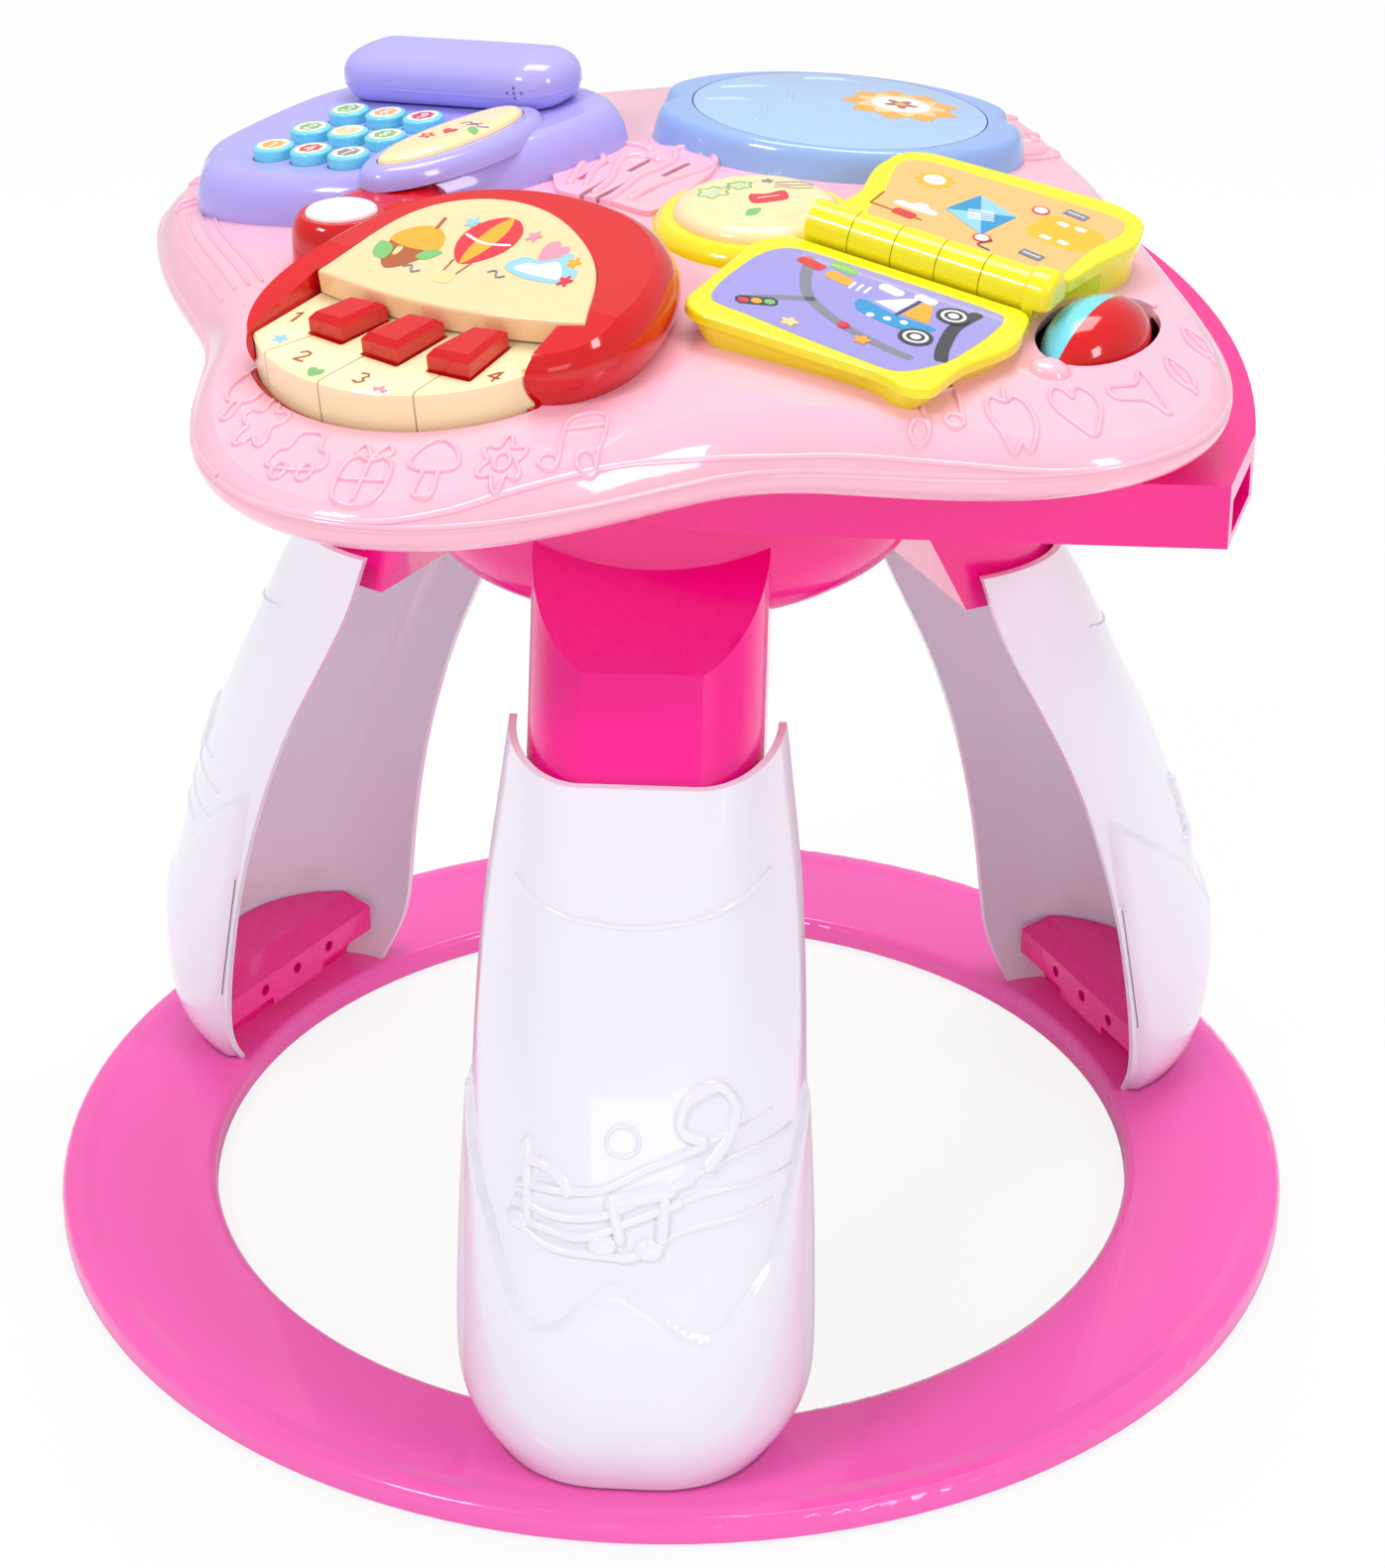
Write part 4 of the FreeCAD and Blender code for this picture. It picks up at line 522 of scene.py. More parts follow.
HEART = [(0, -9), (5, -4.5), (8.6, 0.5), (8.4, 5), (5, 7.8), (1.6, 6.8), (0, 4.2), (-1.6, 6.8), (-5, 7.8),
         (-8.4, 5), (-8.6, 0.5), (-5, -4.5)]
LEAF = [(0, -8), (4, -4), (5, 1), (3, 6), (0, 9), (-3, 6), (-5, 1), (-4, -4)]
DIGITS = {
    1: [(-1.4, 2.2), (0.4, 3.6), (0.4, -3.6)],
    2: [(-2, 2), (-0.6, 3.6), (1.6, 3.1), (1.9, 1.2), (0, -1.2), (-2.1, -3.5), (2.3, -3.5)],
    3: [(-1.9, 3.1), (0.4, 3.7), (1.8, 2.1), (0.2, 0.3), (2, -1.5), (0.4, -3.6), (-2, -2.9)],
    4: [(2.4, -1.4), (-2.4, -1.4), (1, 3.6), (1, -3.8)],
    5: [(1.9, 3.6), (-1.5, 3.6), (-1.8, 0.6), (0.6, 0.9), (2, -1.2), (0.4, -3.5), (-1.9, -2.8)],
    6: [(1.6, 3.4), (-1, 1.6), (-1.9, -1.4), (0, -3.6), (1.9, -1.6), (0.4, 0.3), (-1.6, -0.8)],
    7: [(-2, 3.5), (2.1, 3.5), (0.3, 0.4), (-0.7, -3.7)],
    8: [(0, 0.3), (-1.6, 2.1), (0, 3.7), (1.6, 2.1), (0, 0.3), (-1.9, -1.7), (0, -3.7), (1.9, -1.7),
        (0, 0.3)],
    9: [(1.7, 1.4), (0, 0), (-1.8, 1.6), (0, 3.6), (1.8, 1.7), (1.4, -1.6), (-0.4, -3.6)],
}


class Board:
    """Sets motifs on a drawing: its own right and up directions at a chosen place and scale."""

    def __init__(self, drawing, right, up):
        self.drawing, self.right, self.up = drawing, Vector(right), Vector(up)

    def put(self, points, place=(0, 0), scale=1.0, turn=0.0):
        cos, sin = math.cos(math.radians(turn)), math.sin(math.radians(turn))
        put = []
        for x, y in points:
            x, y = (x * cos - y * sin) * scale, (x * sin + y * cos) * scale
            put.append(Vector(place) + self.right * x + self.up * y)
        return put

    def patch(self, outline, colour, place=(0, 0), scale=1.0, turn=0.0, corners=False):
        line = self.put(outline, place, scale, turn)
        self.drawing.patch(edges(line, True) if corners else smooth(line, True), colour)

    def line(self, points, width, colour, place=(0, 0), scale=1.0, turn=0.0, closed=False, corners=False):
        line = self.put(points, place, scale, turn)
        shape = edges if corners else smooth
        self.drawing.line(shape(line, closed), width, colour, closed)


# Raised lines and panels moulded on the legs, in degrees round the leg and millimetres of height

# Half width, height and points of each line of the staff and of its notes
LEG_LINES = [
    (1.8, 1.7, [(-41, 134), (-36.8, 135), (-21.3, 136.3), (-9.7, 137.7), (-0.5, 141.4), (8.9, 145.8),
                (22.9, 150.7), (30, 152.6)]),
    (1.8, 1.7, [(-41, 128.6), (-35.9, 128.3), (-26.9, 127), (-17.9, 127.4), (-7.4, 129), (4.3, 134),
                (17.8, 139.3), (24, 141.5)]),
    (1.8, 1.7, [(-41, 122.8), (-35.2, 122), (-26.4, 121.5), (-17.4, 120.6), (-8.9, 122.6), (4.3, 128.1),
                (19.4, 133.7)]),
    (1.8, 1.7, [(-41.1, 121.5), (-32.7, 117.5), (-24.1, 115.5), (-15.4, 115.3), (-4.3, 114.6), (1.8, 114.4),
                (13, 119.5)]),
    (1.1, 0.8, [(28, 152.2), (37.4, 154.3), (60.6, 155.9)]),
    (1.1, 0.8, [(22, 140.8), (26.9, 142.7), (41.6, 146.3), (72, 144.8)]),
    (1.1, 0.8, [(17, 133), (35.7, 135.8), (73.8, 129.8)]),
    (1.1, 0.8, [(11, 118.8), (19.9, 123.5), (34.9, 124.7), (56.5, 124.4)]),
    (2.2, 1.9, [(-36, 124.3), (-37.6, 137), (-39.4, 149.4)]),
    (2.2, 1.9, [(-39.9, 149.3), (-39.2, 144.3), (-30.6, 143.3), (-24.5, 140.4), (-21.7, 135.8)]),
    (3.4, 2.3, [(-4.9, 133.7), (16, 138.5)]),
    (2.6, 2.3, [(-4.9, 133.7), (-1.8, 121.1)]),
    (2.6, 2.3, [(14.6, 137.6), (13, 121.6)]),
    (2.4, 2.0, [(29.6, 154.1), (22.4, 157.3), (21.4, 163.1), (26.2, 168.9), (37.5, 171.5), (43.8, 164.6),
                (43.1, 158.8), (38.1, 151.5), (30.8, 145)]),
]
LEG_HEADS = [(-7.9, 118.8), (8.4, 117.4), (-40, 121.5)]
SOLE_LINE = [(-80, 17), (-50, 13), (0, 11.5), (50, 13), (80, 17)]
LEG_SEAM = [(-75, 232), (-56.8, 227.4), (-20, 224), (3.5, 223.2), (30, 225), (64, 229.8), (85, 234)]
BOOT_EDGE = [(-96, 160), (-67.5, 132.7), (-51.3, 116.7), (-40.3, 97.4), (-34, 88.5), (-29.6, 86.4),
             (-22, 90), (-15, 98), (-2.8, 107), (10, 98), (20, 89), (28.2, 85.3), (34, 87.5), (42.9, 97),
             (53.4, 104), (59.8, 116.3), (71.5, 134.9), (96, 160)]
BOSS_PLACE = (-1.6, 154.3)
BOOT_THICK = 3.0
BOOT_SINK = 0.7
BOOT_COLUMNS = 38
BOOT_TURN = 2.5
BOOT_HEIGHTS = (12, 158, 2)
BOOT_END = 93
DEGREE = math.radians(LEG_ROUND)


def boot_edge(angle):
    """Height of the boot's edge at an angle round the leg."""
    for (low, start), (high, end) in zip(BOOT_EDGE, BOOT_EDGE[1:]):
        if angle <= high:
            return start + (end - start) * (angle - low) / (high - low)
    return BOOT_EDGE[-1][1]


def eased(value):
    """Soft step from 0 to 1."""
    value = min(max(value, 0.0), 1.0)
    return value * value * (3 - 2 * value)


def make_leg_relief(name, azimuth):
    relief = Drawing(name + "_relief", "stand", [name], aim_leg(azimuth), ["leg"], 0.1)
    for half_width, height, line in LEG_LINES:
        relief.strip(smooth([(a * DEGREE, b) for a, b in line]), half_width, height, "leg")
    relief.strip(smooth([(a * DEGREE, b) for a, b in LEG_SEAM]), 1.0, 0.8, "leg")
    relief.strip(smooth([(a * DEGREE, b) for a, b in SOLE_LINE]), 0.8, 0.5, "leg")
    boss = [(BOSS_PLACE[0] * DEGREE + 7.2 * x, BOSS_PLACE[1] + 5.2 * y) for x, y in disc(1)]
    relief.strip(smooth(boss, True, 0.8), 0.9, 0.9, "leg", True)
    for a, b in LEG_HEADS:
        relief.dome(smooth([(a * DEGREE + 6 * x, b + 3.9 * y) for x, y in disc(1)], True), 2.6, "leg")
    rows = []
    for k in range(-BOOT_COLUMNS, BOOT_COLUMNS + 1):
        angle = k * BOOT_TURN
        row = []
        for z in range(*BOOT_HEIGHTS):
            inside = eased((boot_edge(angle) - z) / 3.5) * eased((BOOT_END - abs(angle)) / 6)
            row.append(relief.place(angle * DEGREE, z, BOOT_THICK * inside - BOOT_SINK))
        rows.append(row)
    relief.grid(rows, "leg")
    relief.make()


# Raised outlines round the tray's shoulder

# Each outline is a list of lines: closed or open, with its points
ICONS = {
    "tree": [(True, [(0, 9), (5, 6), (7, 1), (4, -3), (-4, -3), (-7, 1), (-5, 6)]),
             (False, [(-1.5, -3), (-1.5, -9), (1.5, -9), (1.5, -3)])],
    "star": [(True, flower(9, 5, 0.24))],
    "car": [(True, [(-9.5, -4), (-9.5, 1), (-6, 2.4), (-4, 7), (4, 7), (6, 2.4), (9.5, 1), (9.5, -4)]),
            (True, [(-5 + x, -5 + y) for x, y in disc(2.6)]),
            (True, [(5 + x, -5 + y) for x, y in disc(2.6)])],
    "gift": [(True, [(-7.5, -8.5), (7.5, -8.5), (7.5, 3.5), (-7.5, 3.5)]), (False, [(0, -8.5), (0, 3.5)]),
             (False, [(-7.5, -2.5), (7.5, -2.5)]),
             (True, [(0, 3.5), (4, 8.5), (6.5, 6)]), (True, [(0, 3.5), (-4, 8.5), (-6.5, 6)])],
    "mushroom": [(True, [(-8.5, 0.5), (-6.5, 6), (0, 9), (6.5, 6), (8.5, 0.5), (0, -1)]),
                 (False, [(-2.6, -0.8), (-3.4, -8), (0, -9), (3.4, -8), (2.6, -0.8)])],
    "flower": [(True, flower(8.5, 6, 0.2)), (True, disc(2.8))],
    "notes": [(True, [(-7.6 + 3.4 * x, -6.5 + 2.2 * y) for x, y in disc(1)]),
              (True, [(5.6 + 3.4 * x, -5 + 2.2 * y) for x, y in disc(1)]),
              (False, [(-4.2, -6), (-3.4, 7), (9.4, 9), (9, -4.5)]),
              (False, [(-3.4, 4), (9.4, 6)])],
    "apple": [(True, [(0, 5.2), (4.5, 7), (8, 3), (7.4, -3.5), (3.4, -9), (0, -7.6), (-3.4, -9),
                      (-7.4, -3.5), (-8, 3), (-4.5, 7)]),
              (False, [(0, 5.2), (1.4, 10)])],
    "heart": [(True, HEART)],
    "horn": [(True, [(-9, -2), (2, -3), (8, -7.5), (8, 7.5), (2, 3), (-9, 2)])],
    "leaf": [(True, [(0.75 * x, 0.7 * y) for x, y in LEAF]), (False, [(0, -7), (0, 4)])],
    "moon": [(True, [(3, 9), (-4, 7.5), (-7.5, 1), (-5, -6), (1.5, -9), (6, -7.5), (0.5, -4), (-1, 1),
                     (0, 6)])],
}
# Outline, azimuth and distance from the middle
ICON_PLACES = [
    ("tree", 224.1, 191), ("star", 230.2, 200), ("car", 237.5, 208), ("gift", 244.8, 207),
    ("mushroom", 250.6, 198), ("flower", 257, 189), ("notes", 263.6, 174),
    ("notes", 306.2, 170), ("apple", 312.8, 187), ("heart", 320, 196), ("horn", 327.6, 201),
    ("leaf", 334.5, 206), ("leaf", 342, 203),
    ("moon", 38, 168), ("flower", 45, 178), ("tree", 52, 190), ("heart", 60, 201),
    ("apple", 68, 202), ("leaf", 75, 194), ("star", 82, 181),
    ("notes", 137, 191), ("gift", 128.5, 182), ("mushroom", 160, 186), ("moon", 168, 179),
]
# Stretch of the outlines across and upwards, then half the width and the rise of their lines
ICON_WIDTH = 0.95
ICON_HEIGHT = 1.8
ICON_HALF_LINE = 0.95
ICON_RISE = 1.25
# Share of the turn towards the front, for the outlines on the front side
FRONT_TURN = 0.6
FRONT_START = 200
# Azimuth and height
LIP_LINE = [(226, 390), (235, 390), (241, 391), (248, 391.5), (254, 394.5), (259, 398.3), (265, 400.3),
            (270, 400), (277, 397.3), (287, 395), (296, 395.3), (305, 394), (313, 391.2), (320, 390.3),
            (332, 390), (350, 391),
            (370, 392), (400, 391), (430, 391), (460, 394), (480, 392), (510, 391), (550, 391), (570, 391)]
# Azimuth and distance of the tray's edge, and how far inside it the staff's lines run
STAFF_EDGE = [(171, 200), (178, 191.5), (185, 183.6), (192, 177.6), (199, 175)]
STAFF_INSETS = (8, 13, 18, 23)
THUMB_PLACE = (140, -102.5)


def on_circle(radius, azimuth):
    angle = math.radians(azimuth)
    return (radius * math.cos(angle), radius * math.sin(angle))


def aim_on_slope(tree, azimuth, radius, upright):
    """Rays onto a piece of the tray's slope, with its drawing turned part way to face the front."""
    angle = math.radians(azimuth)
    out = Vector((math.cos(angle), math.sin(angle), 0))
    place, normal, _, _ = tree.ray_cast(out * radius * MM + UPWARDS * 0.5, -UPWARDS)
    up = Vector((0, 1, 0)) * upright - out * (1 - upright)
    across = up.cross(normal).normalized()
    return aim_down(place / MM, across, normal.cross(across), 20)


def make_tray_relief():
    relief = Drawing("tray_icons", "stand", ["tray_top"], None, ["tray"])
    for name, azimuth, radius in ICON_PLACES:
        relief.aim = aim_on_slope(relief.tree, azimuth, radius, FRONT_TURN if azimuth > FRONT_START else 0)
        for closed, points in ICONS[name]:
            tall = [(x * ICON_WIDTH, y * ICON_HEIGHT) for x, y in points]
            relief.strip(smooth(tall, closed, 1.0), ICON_HALF_LINE, ICON_RISE, "tray", closed)
    relief.aim = aim_down(OVER_TRAY, (1, 0, 0), (0, 1, 0))
    for inset in STAFF_INSETS:
        line = [on_circle(radius - inset, azimuth) for azimuth, radius in STAFF_EDGE]
        relief.strip(smooth(line), 0.8, 0.9, "tray")
    relief.aim = aim_inwards
    relief.strip(smooth(LIP_LINE, True, 0.8), 0.9, 0.7, "tray", True)
    relief.make()


# Curled beads over the speaker, with the thumb bump by the roller

GRILLE_HALF_WIDTH = 2.1
GRILLE_HEIGHT = 3.6
GRILLE_BEADS = [
    [(-32.3, 21.7), (-31, 36), (-28.2, 46.5), (-29.8, 56.8), (-28.1, 64.2), (-22, 67.8), (-15.7, 65.1),
     (-11.5, 60.1)],
    [(-28.2, 11.9), (-23.7, 25.3), (-22.1, 45.8), (-18.5, 52.3), (-11.3, 51.8), (-7.5, 47)],
    [(-22.1, 5.3), (-17.2, 17.6), (-12.6, 30.1), (-6.8, 37.6), (-1.3, 49.3), (-1.5, 61.8), (4.5, 63.3),
     (9, 57.3)],
    [(-14.3, 4.9), (-9.2, 15.2), (-3.5, 22.6), (3.7, 31.2), (10.3, 38.8), (13.7, 49.3), (11.9, 59.6)],
    [(-38.5, 22), (-37, 36), (-35.5, 46)],
]


def make_grille_relief():
    relief = Drawing("grille_beads", "stand", [], aim_down(OVER_TRAY, (1, 0, 0), (0, 1, 0)), ["tray"])
    for line in GRILLE_BEADS:
        relief.strip(smooth(line), GRILLE_HALF_WIDTH, GRILLE_HEIGHT, "tray")
    thumb = [(THUMB_PLACE[0] + 7.5 * x, THUMB_PLACE[1] + 6.3 * y) for x, y in disc(1)]
    relief.dome(smooth(thumb, True), 4.0, "tray")
    relief.make()


# Printed pictures, and painted shade along the step under the phone's keys

# The panel's motifs are drawn larger than their outlines, and taller, because it leans away from the front
PANEL_WIDER = 1.15
PANEL_TALLER = 1.55


def make_piano_art():
    panel = Drawing("panel_print", "stand", ["piano_panel"], aim_lobe(240),
                    ["ink_brown", "ink_tan", "ink_red", "ink_orange", "ink_white", "ink_sky", "ink_pink",
                     "ink_grey", "ink_green"])
    board = Board(panel, (-PANEL_WIDER, 0), (0, -PANEL_TALLER))
    acorn = (31, -13)
    board.patch([(0, -9), (6, -4), (7, 2), (0, 4), (-7, 2), (-6, -4)], "ink_brown", acorn, 1.1)
    board.patch([(-8, 1), (-6, 6), (0, 8.5), (6, 6), (8, 1), (0, -0.5)], "ink_orange", acorn, 1.1)
    board.patch([(-2.6, -4), (-3.4, -1), (-1.6, -1), (-1.4, -4)], "ink_tan", acorn, 1.1)
    board.line([(1, 8), (0, 12)], 1.4, "ink_brown", acorn, 1.1)
    board.patch(LEAF, "ink_green", (39, -7), 0.55, 50)
    board.patch(LEAF, "ink_green", (22, -11), 0.45, -60)
    balloon = (8, -23)
    board.patch([(0, -8), (6, -4), (9, 2), (8, 8), (4, 12), (0, 13), (-4, 12), (-8, 8), (-9, 2), (-6, -4)],
                "ink_red", balloon, 1.0)
    board.patch([(0, -8), (2.4, -3), (3.2, 3), (2.6, 9), (0, 13), (-2.6, 9), (-3.2, 3), (-2.4, -3)],
                "ink_orange", balloon, 1.0)
    board.line([(-8, 3), (0, 1.4), (8, 3)], 1.3, "ink_white", balloon, 1.0)
    board.line([(-3.2, -7), (-2.4, -12)], 0.6, "ink_brown", balloon, 1.0, corners=True)
    board.line([(3.2, -7), (2.4, -12)], 0.6, "ink_brown", balloon, 1.0, corners=True)
    board.patch(box_outline(6.5, 4.6, 1), "ink_tan", Vector(balloon) + Vector((0, 22)), 1.0, corners=True)
    cloud = (-20, -20)
    board.patch([(-10, -3), (-8, 2), (-3, 2.6), (-1, 7), (5, 7), (7, 2.6), (11, 2), (11.5, -3), (0, -5)],
                "ink_sky", cloud, 1.05)
    board.patch([(-7, -3), (-5, 0.4), (-1, 1), (3, 3.4), (7, 0.6), (8, -3)], "ink_white", cloud, 1.0)
    board.patch(HEART, "ink_pink", (-18, -30), 0.5, -14)
    for place, colour in (((-29, -27), "ink_orange"), ((-33, -16), "ink_red"), ((20, -35), "ink_sky"),
                          ((-6, -36), "ink_pink")):
        board.patch(flower(2.4, 5, 0.25), colour, place)
    board.line([(-3, 0), (-1, 1.2), (1, -1.2), (3, 0)], 0.7, "ink_grey", (-8, -10))
    board.line([(-3, 0), (-1, 1.2), (1, -1.2), (3, 0)], 0.7, "ink_grey", (22, -1))
    panel.make()


# Place and value of the number, then place and ink of the motif
KEY_PRINTS = {
    "white_key_1": ((51, 29), 1, (46.5, 44), "ink_sky"),
    "white_key_2": ((32, 50), 2, (21.5, 57), "ink_green"),
    "white_key_3": ((4.3, 53), 3, (-6, 57), "ink_pink"),
    "white_key_4": ((-36, 31), 4, (-45, 25), "ink_orange"),
}


def make_key_art():
    for node, (number_place, number, motif_place, colour) in KEY_PRINTS.items():
        print_ = Drawing(node + "_print", node, [node], aim_lobe(240), ["ink_brown", colour])
        board = Board(print_, (-1, 0), (0, -1))
        board.line(DIGITS[number], 1.1, "ink_brown", number_place, 0.9, corners=True)
        board.patch(flower(3.1, 5, 0.22) if number % 2 else HEART, colour, motif_place,
                    1.0 if number % 2 else 0.36)
        print_.make()


PHONE_INKS = {1: "ink_orange", 2: "ink_green", 3: "ink_green", 4: "ink_red", 5: "ink_tan", 6: "ink_orange",
              7: "ink_grey", 8: "ink_green", 9: "ink_red"}


def make_phone_art():
    _, side, out, _ = lobe_axes(150)
    for number, ink in PHONE_INKS.items():
        node = "phone_key_%d" % number
        low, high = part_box(node)
        middle = (Vector(low) + Vector(high)) / 2 / MM
        print_ = Drawing(node + "_print", node, [node], aim_down(middle, side, out),
                         [ink, "ink_white", "ink_cream"])
        board = Board(print_, (0, -1), (1, 0))
        board.patch(disc(6.2), "ink_cream")
        board.patch(flower(4.6, 7, 0.08), ink)
        board.line(DIGITS[number], 0.9, "ink_white", (0, 0), 0.75, corners=True)
        print_.make()
    low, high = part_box("leaf_button")
    middle = (Vector(low) + Vector(high)) / 2 / MM
    leaf = Drawing("leaf_print", "leaf_button", ["leaf_button"], aim_down(middle, side, out),
                   ["ink_red", "ink_violet", "ink_orange", "ink_green"])
    board = Board(leaf, (0, -1), (1, 0))
    board.patch(flower(3.4, 5, 0.25), "ink_red", (-9, 4))
    board.patch(disc(1.2), "ink_orange", (-9, 4))
    board.patch(HEART, "ink_red", (-2, -1), 0.34)
    board.line([(-4, -1), (-1.4, 1.4), (1.4, -1.4), (4, 1)], 0.8, "ink_violet", (8, -4))
    board.line([(-4, -1), (-1.4, 1.4), (1.4, -1.4), (4, 1)], 0.8, "ink_violet", (7, -7.5))
    board.patch(LEAF, "ink_green", (2, -9), 0.4, 40)
    leaf.make()
    # The deep violet band along the front of the keypad is painted shade of the step under the keys. It
    # lies on a low violet bead.
    base = Drawing("phone_step_painted_shade", "stand", ["phone_base"], aim_lobe(150), ["violet", "violet_deep"])
    base.strip(smooth([(-15.7, -68.9), (6, -73.5), (29, -77.2)]), 3.4, 0.5, "violet")
    base.lift = 0.62
    base.line(smooth([(-14.5, -69.1), (6, -73.5), (28, -77)]), 3.2, "violet_deep")
    base.make()


HANDSET_TURN = 3.5
# The handset is this much narrower than long
HANDSET_SLIM = 0.45


def make_handset_lines():
    low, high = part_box("handset")
    middle = (Vector(low) + Vector(high)) / 2 / MM
    _, side, out, normal = lobe_axes(150, HANDSET_TURN)

    def aim(a, b):
        """Rays to the handset's long middle line, level with its own plane."""
        way = side * math.cos(math.radians(a)) * HANDSET_SLIM + out * math.sin(math.radians(a))
        way.normalize()
        return (middle + way * 90 + normal * b) * MM, -way
    lines = Drawing("handset_lines", "handset", ["handset"], aim, ["violet", "violet_deep"])
    lines.strip([(a, -3.2) for a in range(0, 360, 6)], 0.6, 0.3, "violet", True)
    lines.aim = aim_down(middle, -out, normal, 60)
    for a, b in ((33, -1), (36, -3), (36, 1), (39, -1), (36, -1)):
        spot = [(a + x, b + y) for x, y in disc(0.7)]
        lines.patch(spot, "violet_deep")
    lines.make()


def make_drum_art():
    emblem = Drawing("drum_print", "drum_pad", ["drum_pad"], aim_lobe(60),
                     ["ink_orange", "ink_white", "ink_brown", "ink_tan", "pad"])
    board = Board(emblem, (1, 0), (0, 1))
    place = (17, 9)
    board.patch(flower(23, 9, 0.1), "ink_orange", place)
    board.patch(flower(17.5, 9, 0.12), "ink_tan", place, 1.0, 20)
    board.patch(disc(11.5), "ink_white", place)
    board.patch(flower(7, 5, 0.26), "ink_brown", place)
    board.patch(disc(2.4), "ink_orange", place)
    for line in ([(-50, -16), (-38, -6), (-24, -8), (-16, -20)],
                 [(-44, -36), (-30, -28), (-18, -34), (-12, -50)],
                 [(-34, 20), (-22, 30), (-10, 26), (-6, 14)]):
        emblem.strip(smooth(line), 1.3, 0.5, "pad")
    emblem.make()


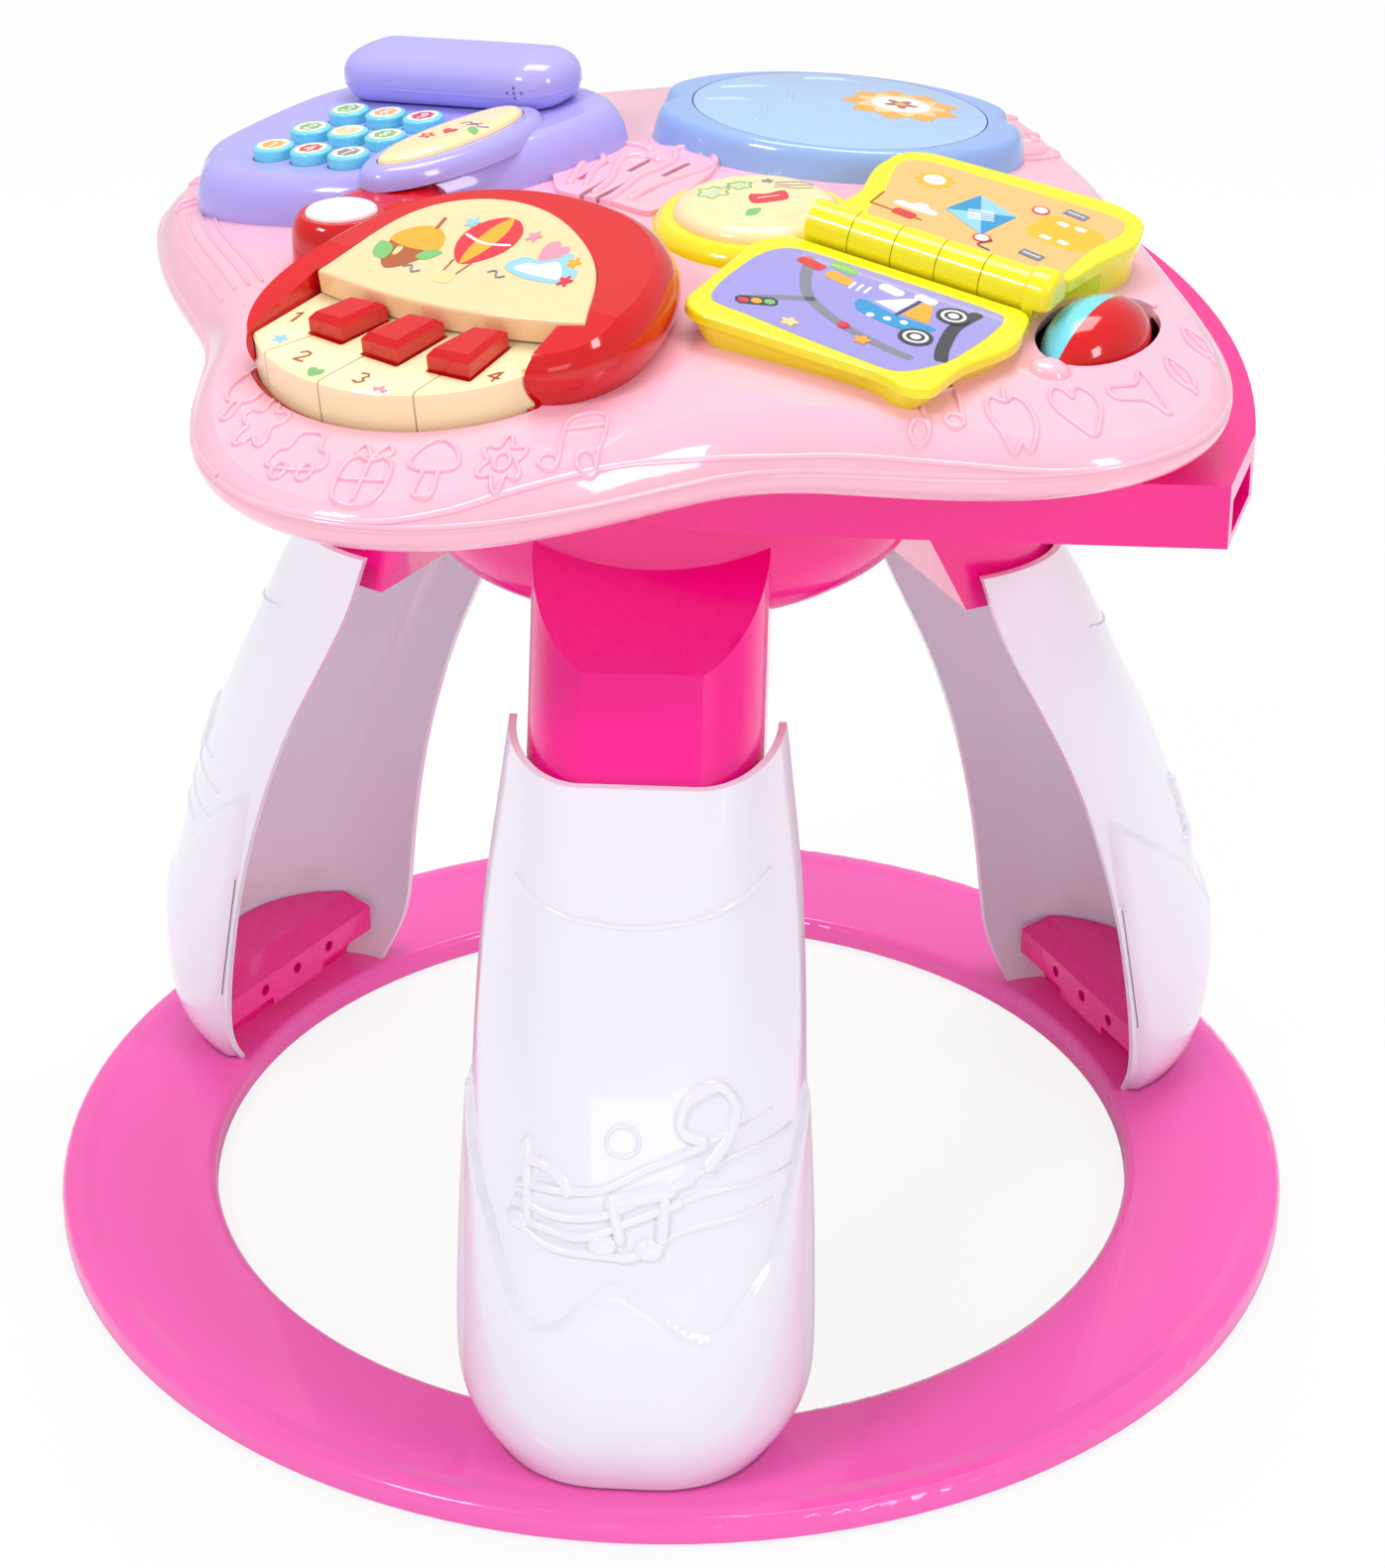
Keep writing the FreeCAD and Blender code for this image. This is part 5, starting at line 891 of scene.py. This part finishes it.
def make_book_art():
    left = Drawing("left_page_print", "stand", ["book_base"], aim_lobe(330, 6.5),
                   ["ink_lilac", "ink_grey", "ink_dark", "ink_red", "ink_orange", "ink_green", "ink_sky",
                    "ink_white", "ink_blue", "ink_tan"])
    left.patch(smooth([(67, -66.5), (55, -69), (40, -69), (27, -68), (17, -64), (13, -56), (12.5, -40),
                       (12.5, -10), (13, 16), (16, 23), (30, 24), (46, 22.5), (58, 20.5), (70, 14.5),
                       (76, 8), (76, -4), (74, -26), (71, -50), (70, -61)], True), "ink_lilac")
    left.line(smooth([(18, -52), (34, -46), (46, -38), (56, -22), (62, -4), (64, 8)]), 4.4, "ink_grey")
    left.line(smooth([(46, -38), (54, -50), (61, -58)]), 3.6, "ink_grey")
    left.line(smooth([(20, 14), (34, 12), (50, 15), (58, 18)]), 5.2, "ink_dark")
    board = Board(left, (0, 1), (-1, 0))
    board.patch(box_outline(15, 6.5, 1.6), "ink_dark", (59.5, -52.5), 1.0, 28, corners=True)
    for shift, colour in ((-4.6, "ink_red"), (0, "ink_orange"), (4.6, "ink_green")):
        beside = Vector((-math.sin(math.radians(28)), math.cos(math.radians(28)))) * shift
        board.patch(disc(2), colour, Vector((59.5, -52.5)) + beside)
    for place, colour in (((21, -50), "ink_red"), ((17, -39), "ink_green"), ((25, -37), "ink_orange")):
        board.patch(box_outline(11, 5.5, 1), colour, place, 1.0, -14, corners=True)
    for shift in range(3):
        board.line([(0, -2.4), (0, 2.4)], 1.1, "ink_white", (27, -31 + 3 * shift), corners=True)
    boat = (38, -9)
    board.patch([(-15, 1), (-11, -7), (9, -7), (16, 2), (0, 0)], "ink_blue", boat, 1.0, -10)
    board.patch([(-1, 2), (-1, 17), (-5, 12), (-11, 3)], "ink_white", boat, 1.0, -10, corners=True)
    board.patch([(1.5, 2), (1.5, 20), (7, 13), (12, 3)], "ink_orange", boat, 1.0, -10, corners=True)
    board.line([(0.2, 0), (0.2, 20)], 1, "ink_dark", boat, 1.0, -10, corners=True)
    for shift in (-7, -1, 5):
        board.patch(disc(1.5), "ink_white", Vector(boat) + Vector((4.4 - shift * 0.17, shift)))
    for place in ((26, 8), (49, 4)):
        board.patch(disc(6.2), "ink_dark", place)
        board.patch(disc(4.6), "ink_white", place)
        board.patch(disc(3.4), "ink_dark", place)
        board.patch(disc(2), "ink_white", place)
    for place, scale in (((22, -18), 1.0), ((21, -5), 0.9)):
        board.patch(box_outline(10, 5, 1.4), "ink_white", place, scale, -12, corners=True)
    board.patch(flower(3.2, 5, 0.2), "ink_orange", (63, -10))
    board.patch(disc(2.2), "ink_red", (57, -20))
    board.patch(flower(3.4, 5, 0.2), "ink_tan", (67, -36))
    left.make()

    right = Drawing("right_page_print", "book_page", ["book_page"], aim_lobe(330, 6.5),
                    ["ink_peach", "ink_blue", "ink_sky", "ink_white", "ink_amber", "ink_red", "ink_dark",
                     "ink_brown", "ink_grey", "ink_green"])
    right.patch(smooth([(-22, -49), (-36, -50), (-52, -54), (-63, -56.5), (-70, -54), (-73.5, -46),
                        (-74.5, -20), (-75.5, 10), (-75, 27), (-70, 32), (-62, 33), (-44, 29.5), (-26, 29),
                        (-18.5, 27.5), (-17.5, 10), (-17.5, -20), (-18.5, -44)], True), "ink_peach")
    board = Board(right, (0, 1), (-1, 0))
    board.patch(box_outline(26, 22, 4), "ink_amber", (-50, 17), 1.0, -8, corners=True)
    for place in ((-43, 12), (-43, 19), (-57, 13), (-57, 20)):
        board.patch(box_outline(4.4, 2.8, 0.5), "ink_white", place, 1.0, -8, corners=True)
    kite = (-44, -14)
    board.patch([(0, 17), (13, 2), (0, -16), (-13, 2)], "ink_blue", kite, 1.0, 24, corners=True)
    board.patch([(0, 17), (13, 2), (0, 2)], "ink_sky", kite, 1.0, 24, corners=True)
    board.patch([(0, -16), (-13, 2), (0, 2)], "ink_sky", kite, 1.0, 24, corners=True)
    for shift in range(-2, 3):
        board.line([(-4.5, shift * 1.8), (4.5, shift * 1.8)], 0.8, "ink_white", kite, 1.0, 24, corners=True)
    board.line([(0, -16), (4, -20), (-1, -24), (3, -28)], 0.8, "ink_dark", kite, 1.0, 24)
    board.patch(flower(7.5, 10, 0.14), "ink_amber", (-60, -40))
    board.patch(disc(4.2), "ink_white", (-60, -40))
    board.patch([(-8, -2), (-7, 2), (-2.4, 2), (0, 5), (4, 5), (6, 2), (9, 1.6), (9, -2)], "ink_white",
                (-34, -36), 0.9)
    board.patch(box_outline(9, 5, 1), "ink_red", (-27, -37), 1.0, -6, corners=True)
    board.line([(-9, 4), (-9, -4), (6, -5)], 0.6, "ink_brown", (-33, -38), 1.4, corners=True)
    for place in ((-27, -6), (-62, 2)):
        board.patch(disc(3.4), "ink_red", place)
        board.patch(disc(2.6), "ink_white", place)
    for place in ((-26, 14), (-67, 14)):
        board.patch(box_outline(9, 4.6, 0.4), "ink_grey", place, 1.0, -8, corners=True)
        board.line([(-3.4, 0), (3.4, 0)], 0.6, "ink_white", place, 1.0, -8, corners=True)
    right.make()


def make_button_art():
    cap = Drawing("button_print", "round_button", ["round_button"],
                  aim_down(OVER_TRAY, (1, 0, 0), (0, 1, 0)),
                  ["ink_green", "ink_red", "ink_grey", "ink_mint", "ink_white"])
    board = Board(cap, (1, 0), (0, 1))
    for place, radius in (((17, -8), 6.2), ((26, -1), 5)):
        board.line(flower(radius, 6, 0.14), 0.9, "ink_green", place, closed=True)
        board.patch(disc(radius * 0.42), "ink_mint", place)
    board.patch([(-7, -3), (-5.5, 4.5), (0.5, 3.4), (7, 4.5), (6, -3), (0, -4.2)], "ink_red", (37.5, -13),
                1.05, 22)
    board.line([(-4, 0.6), (4, 0.6)], 0.6, "ink_white", (37.5, -13), 1.0, 22, corners=True)
    board.patch(LEAF, "ink_green", (32.5, -27), 0.45, -40)
    for shift in range(3):
        board.line([(-7, 0), (7, 0)], 0.5, "ink_grey", (46, -1.5 + 3.2 * shift), 1.0, 8, corners=True)
    board.patch(flower(2.4, 5, 0.2), "ink_grey", (36, 5))
    cap.make()


make_camera()
make_world()
make_floor()
for lamp in LAMPS:
    area_lamp(*lamp)
dress_nodes()
for leg, azimuth in (("leg_front", -90), ("leg_right", 30), ("leg_left", 150)):
    make_leg_relief(leg, azimuth)
make_tray_relief()
make_grille_relief()
make_piano_art()
make_key_art()
make_phone_art()
make_handset_lines()
make_drum_art()
make_book_art()
make_button_art()

scene = bpy.context.scene
scene.view_settings.view_transform = "Standard"
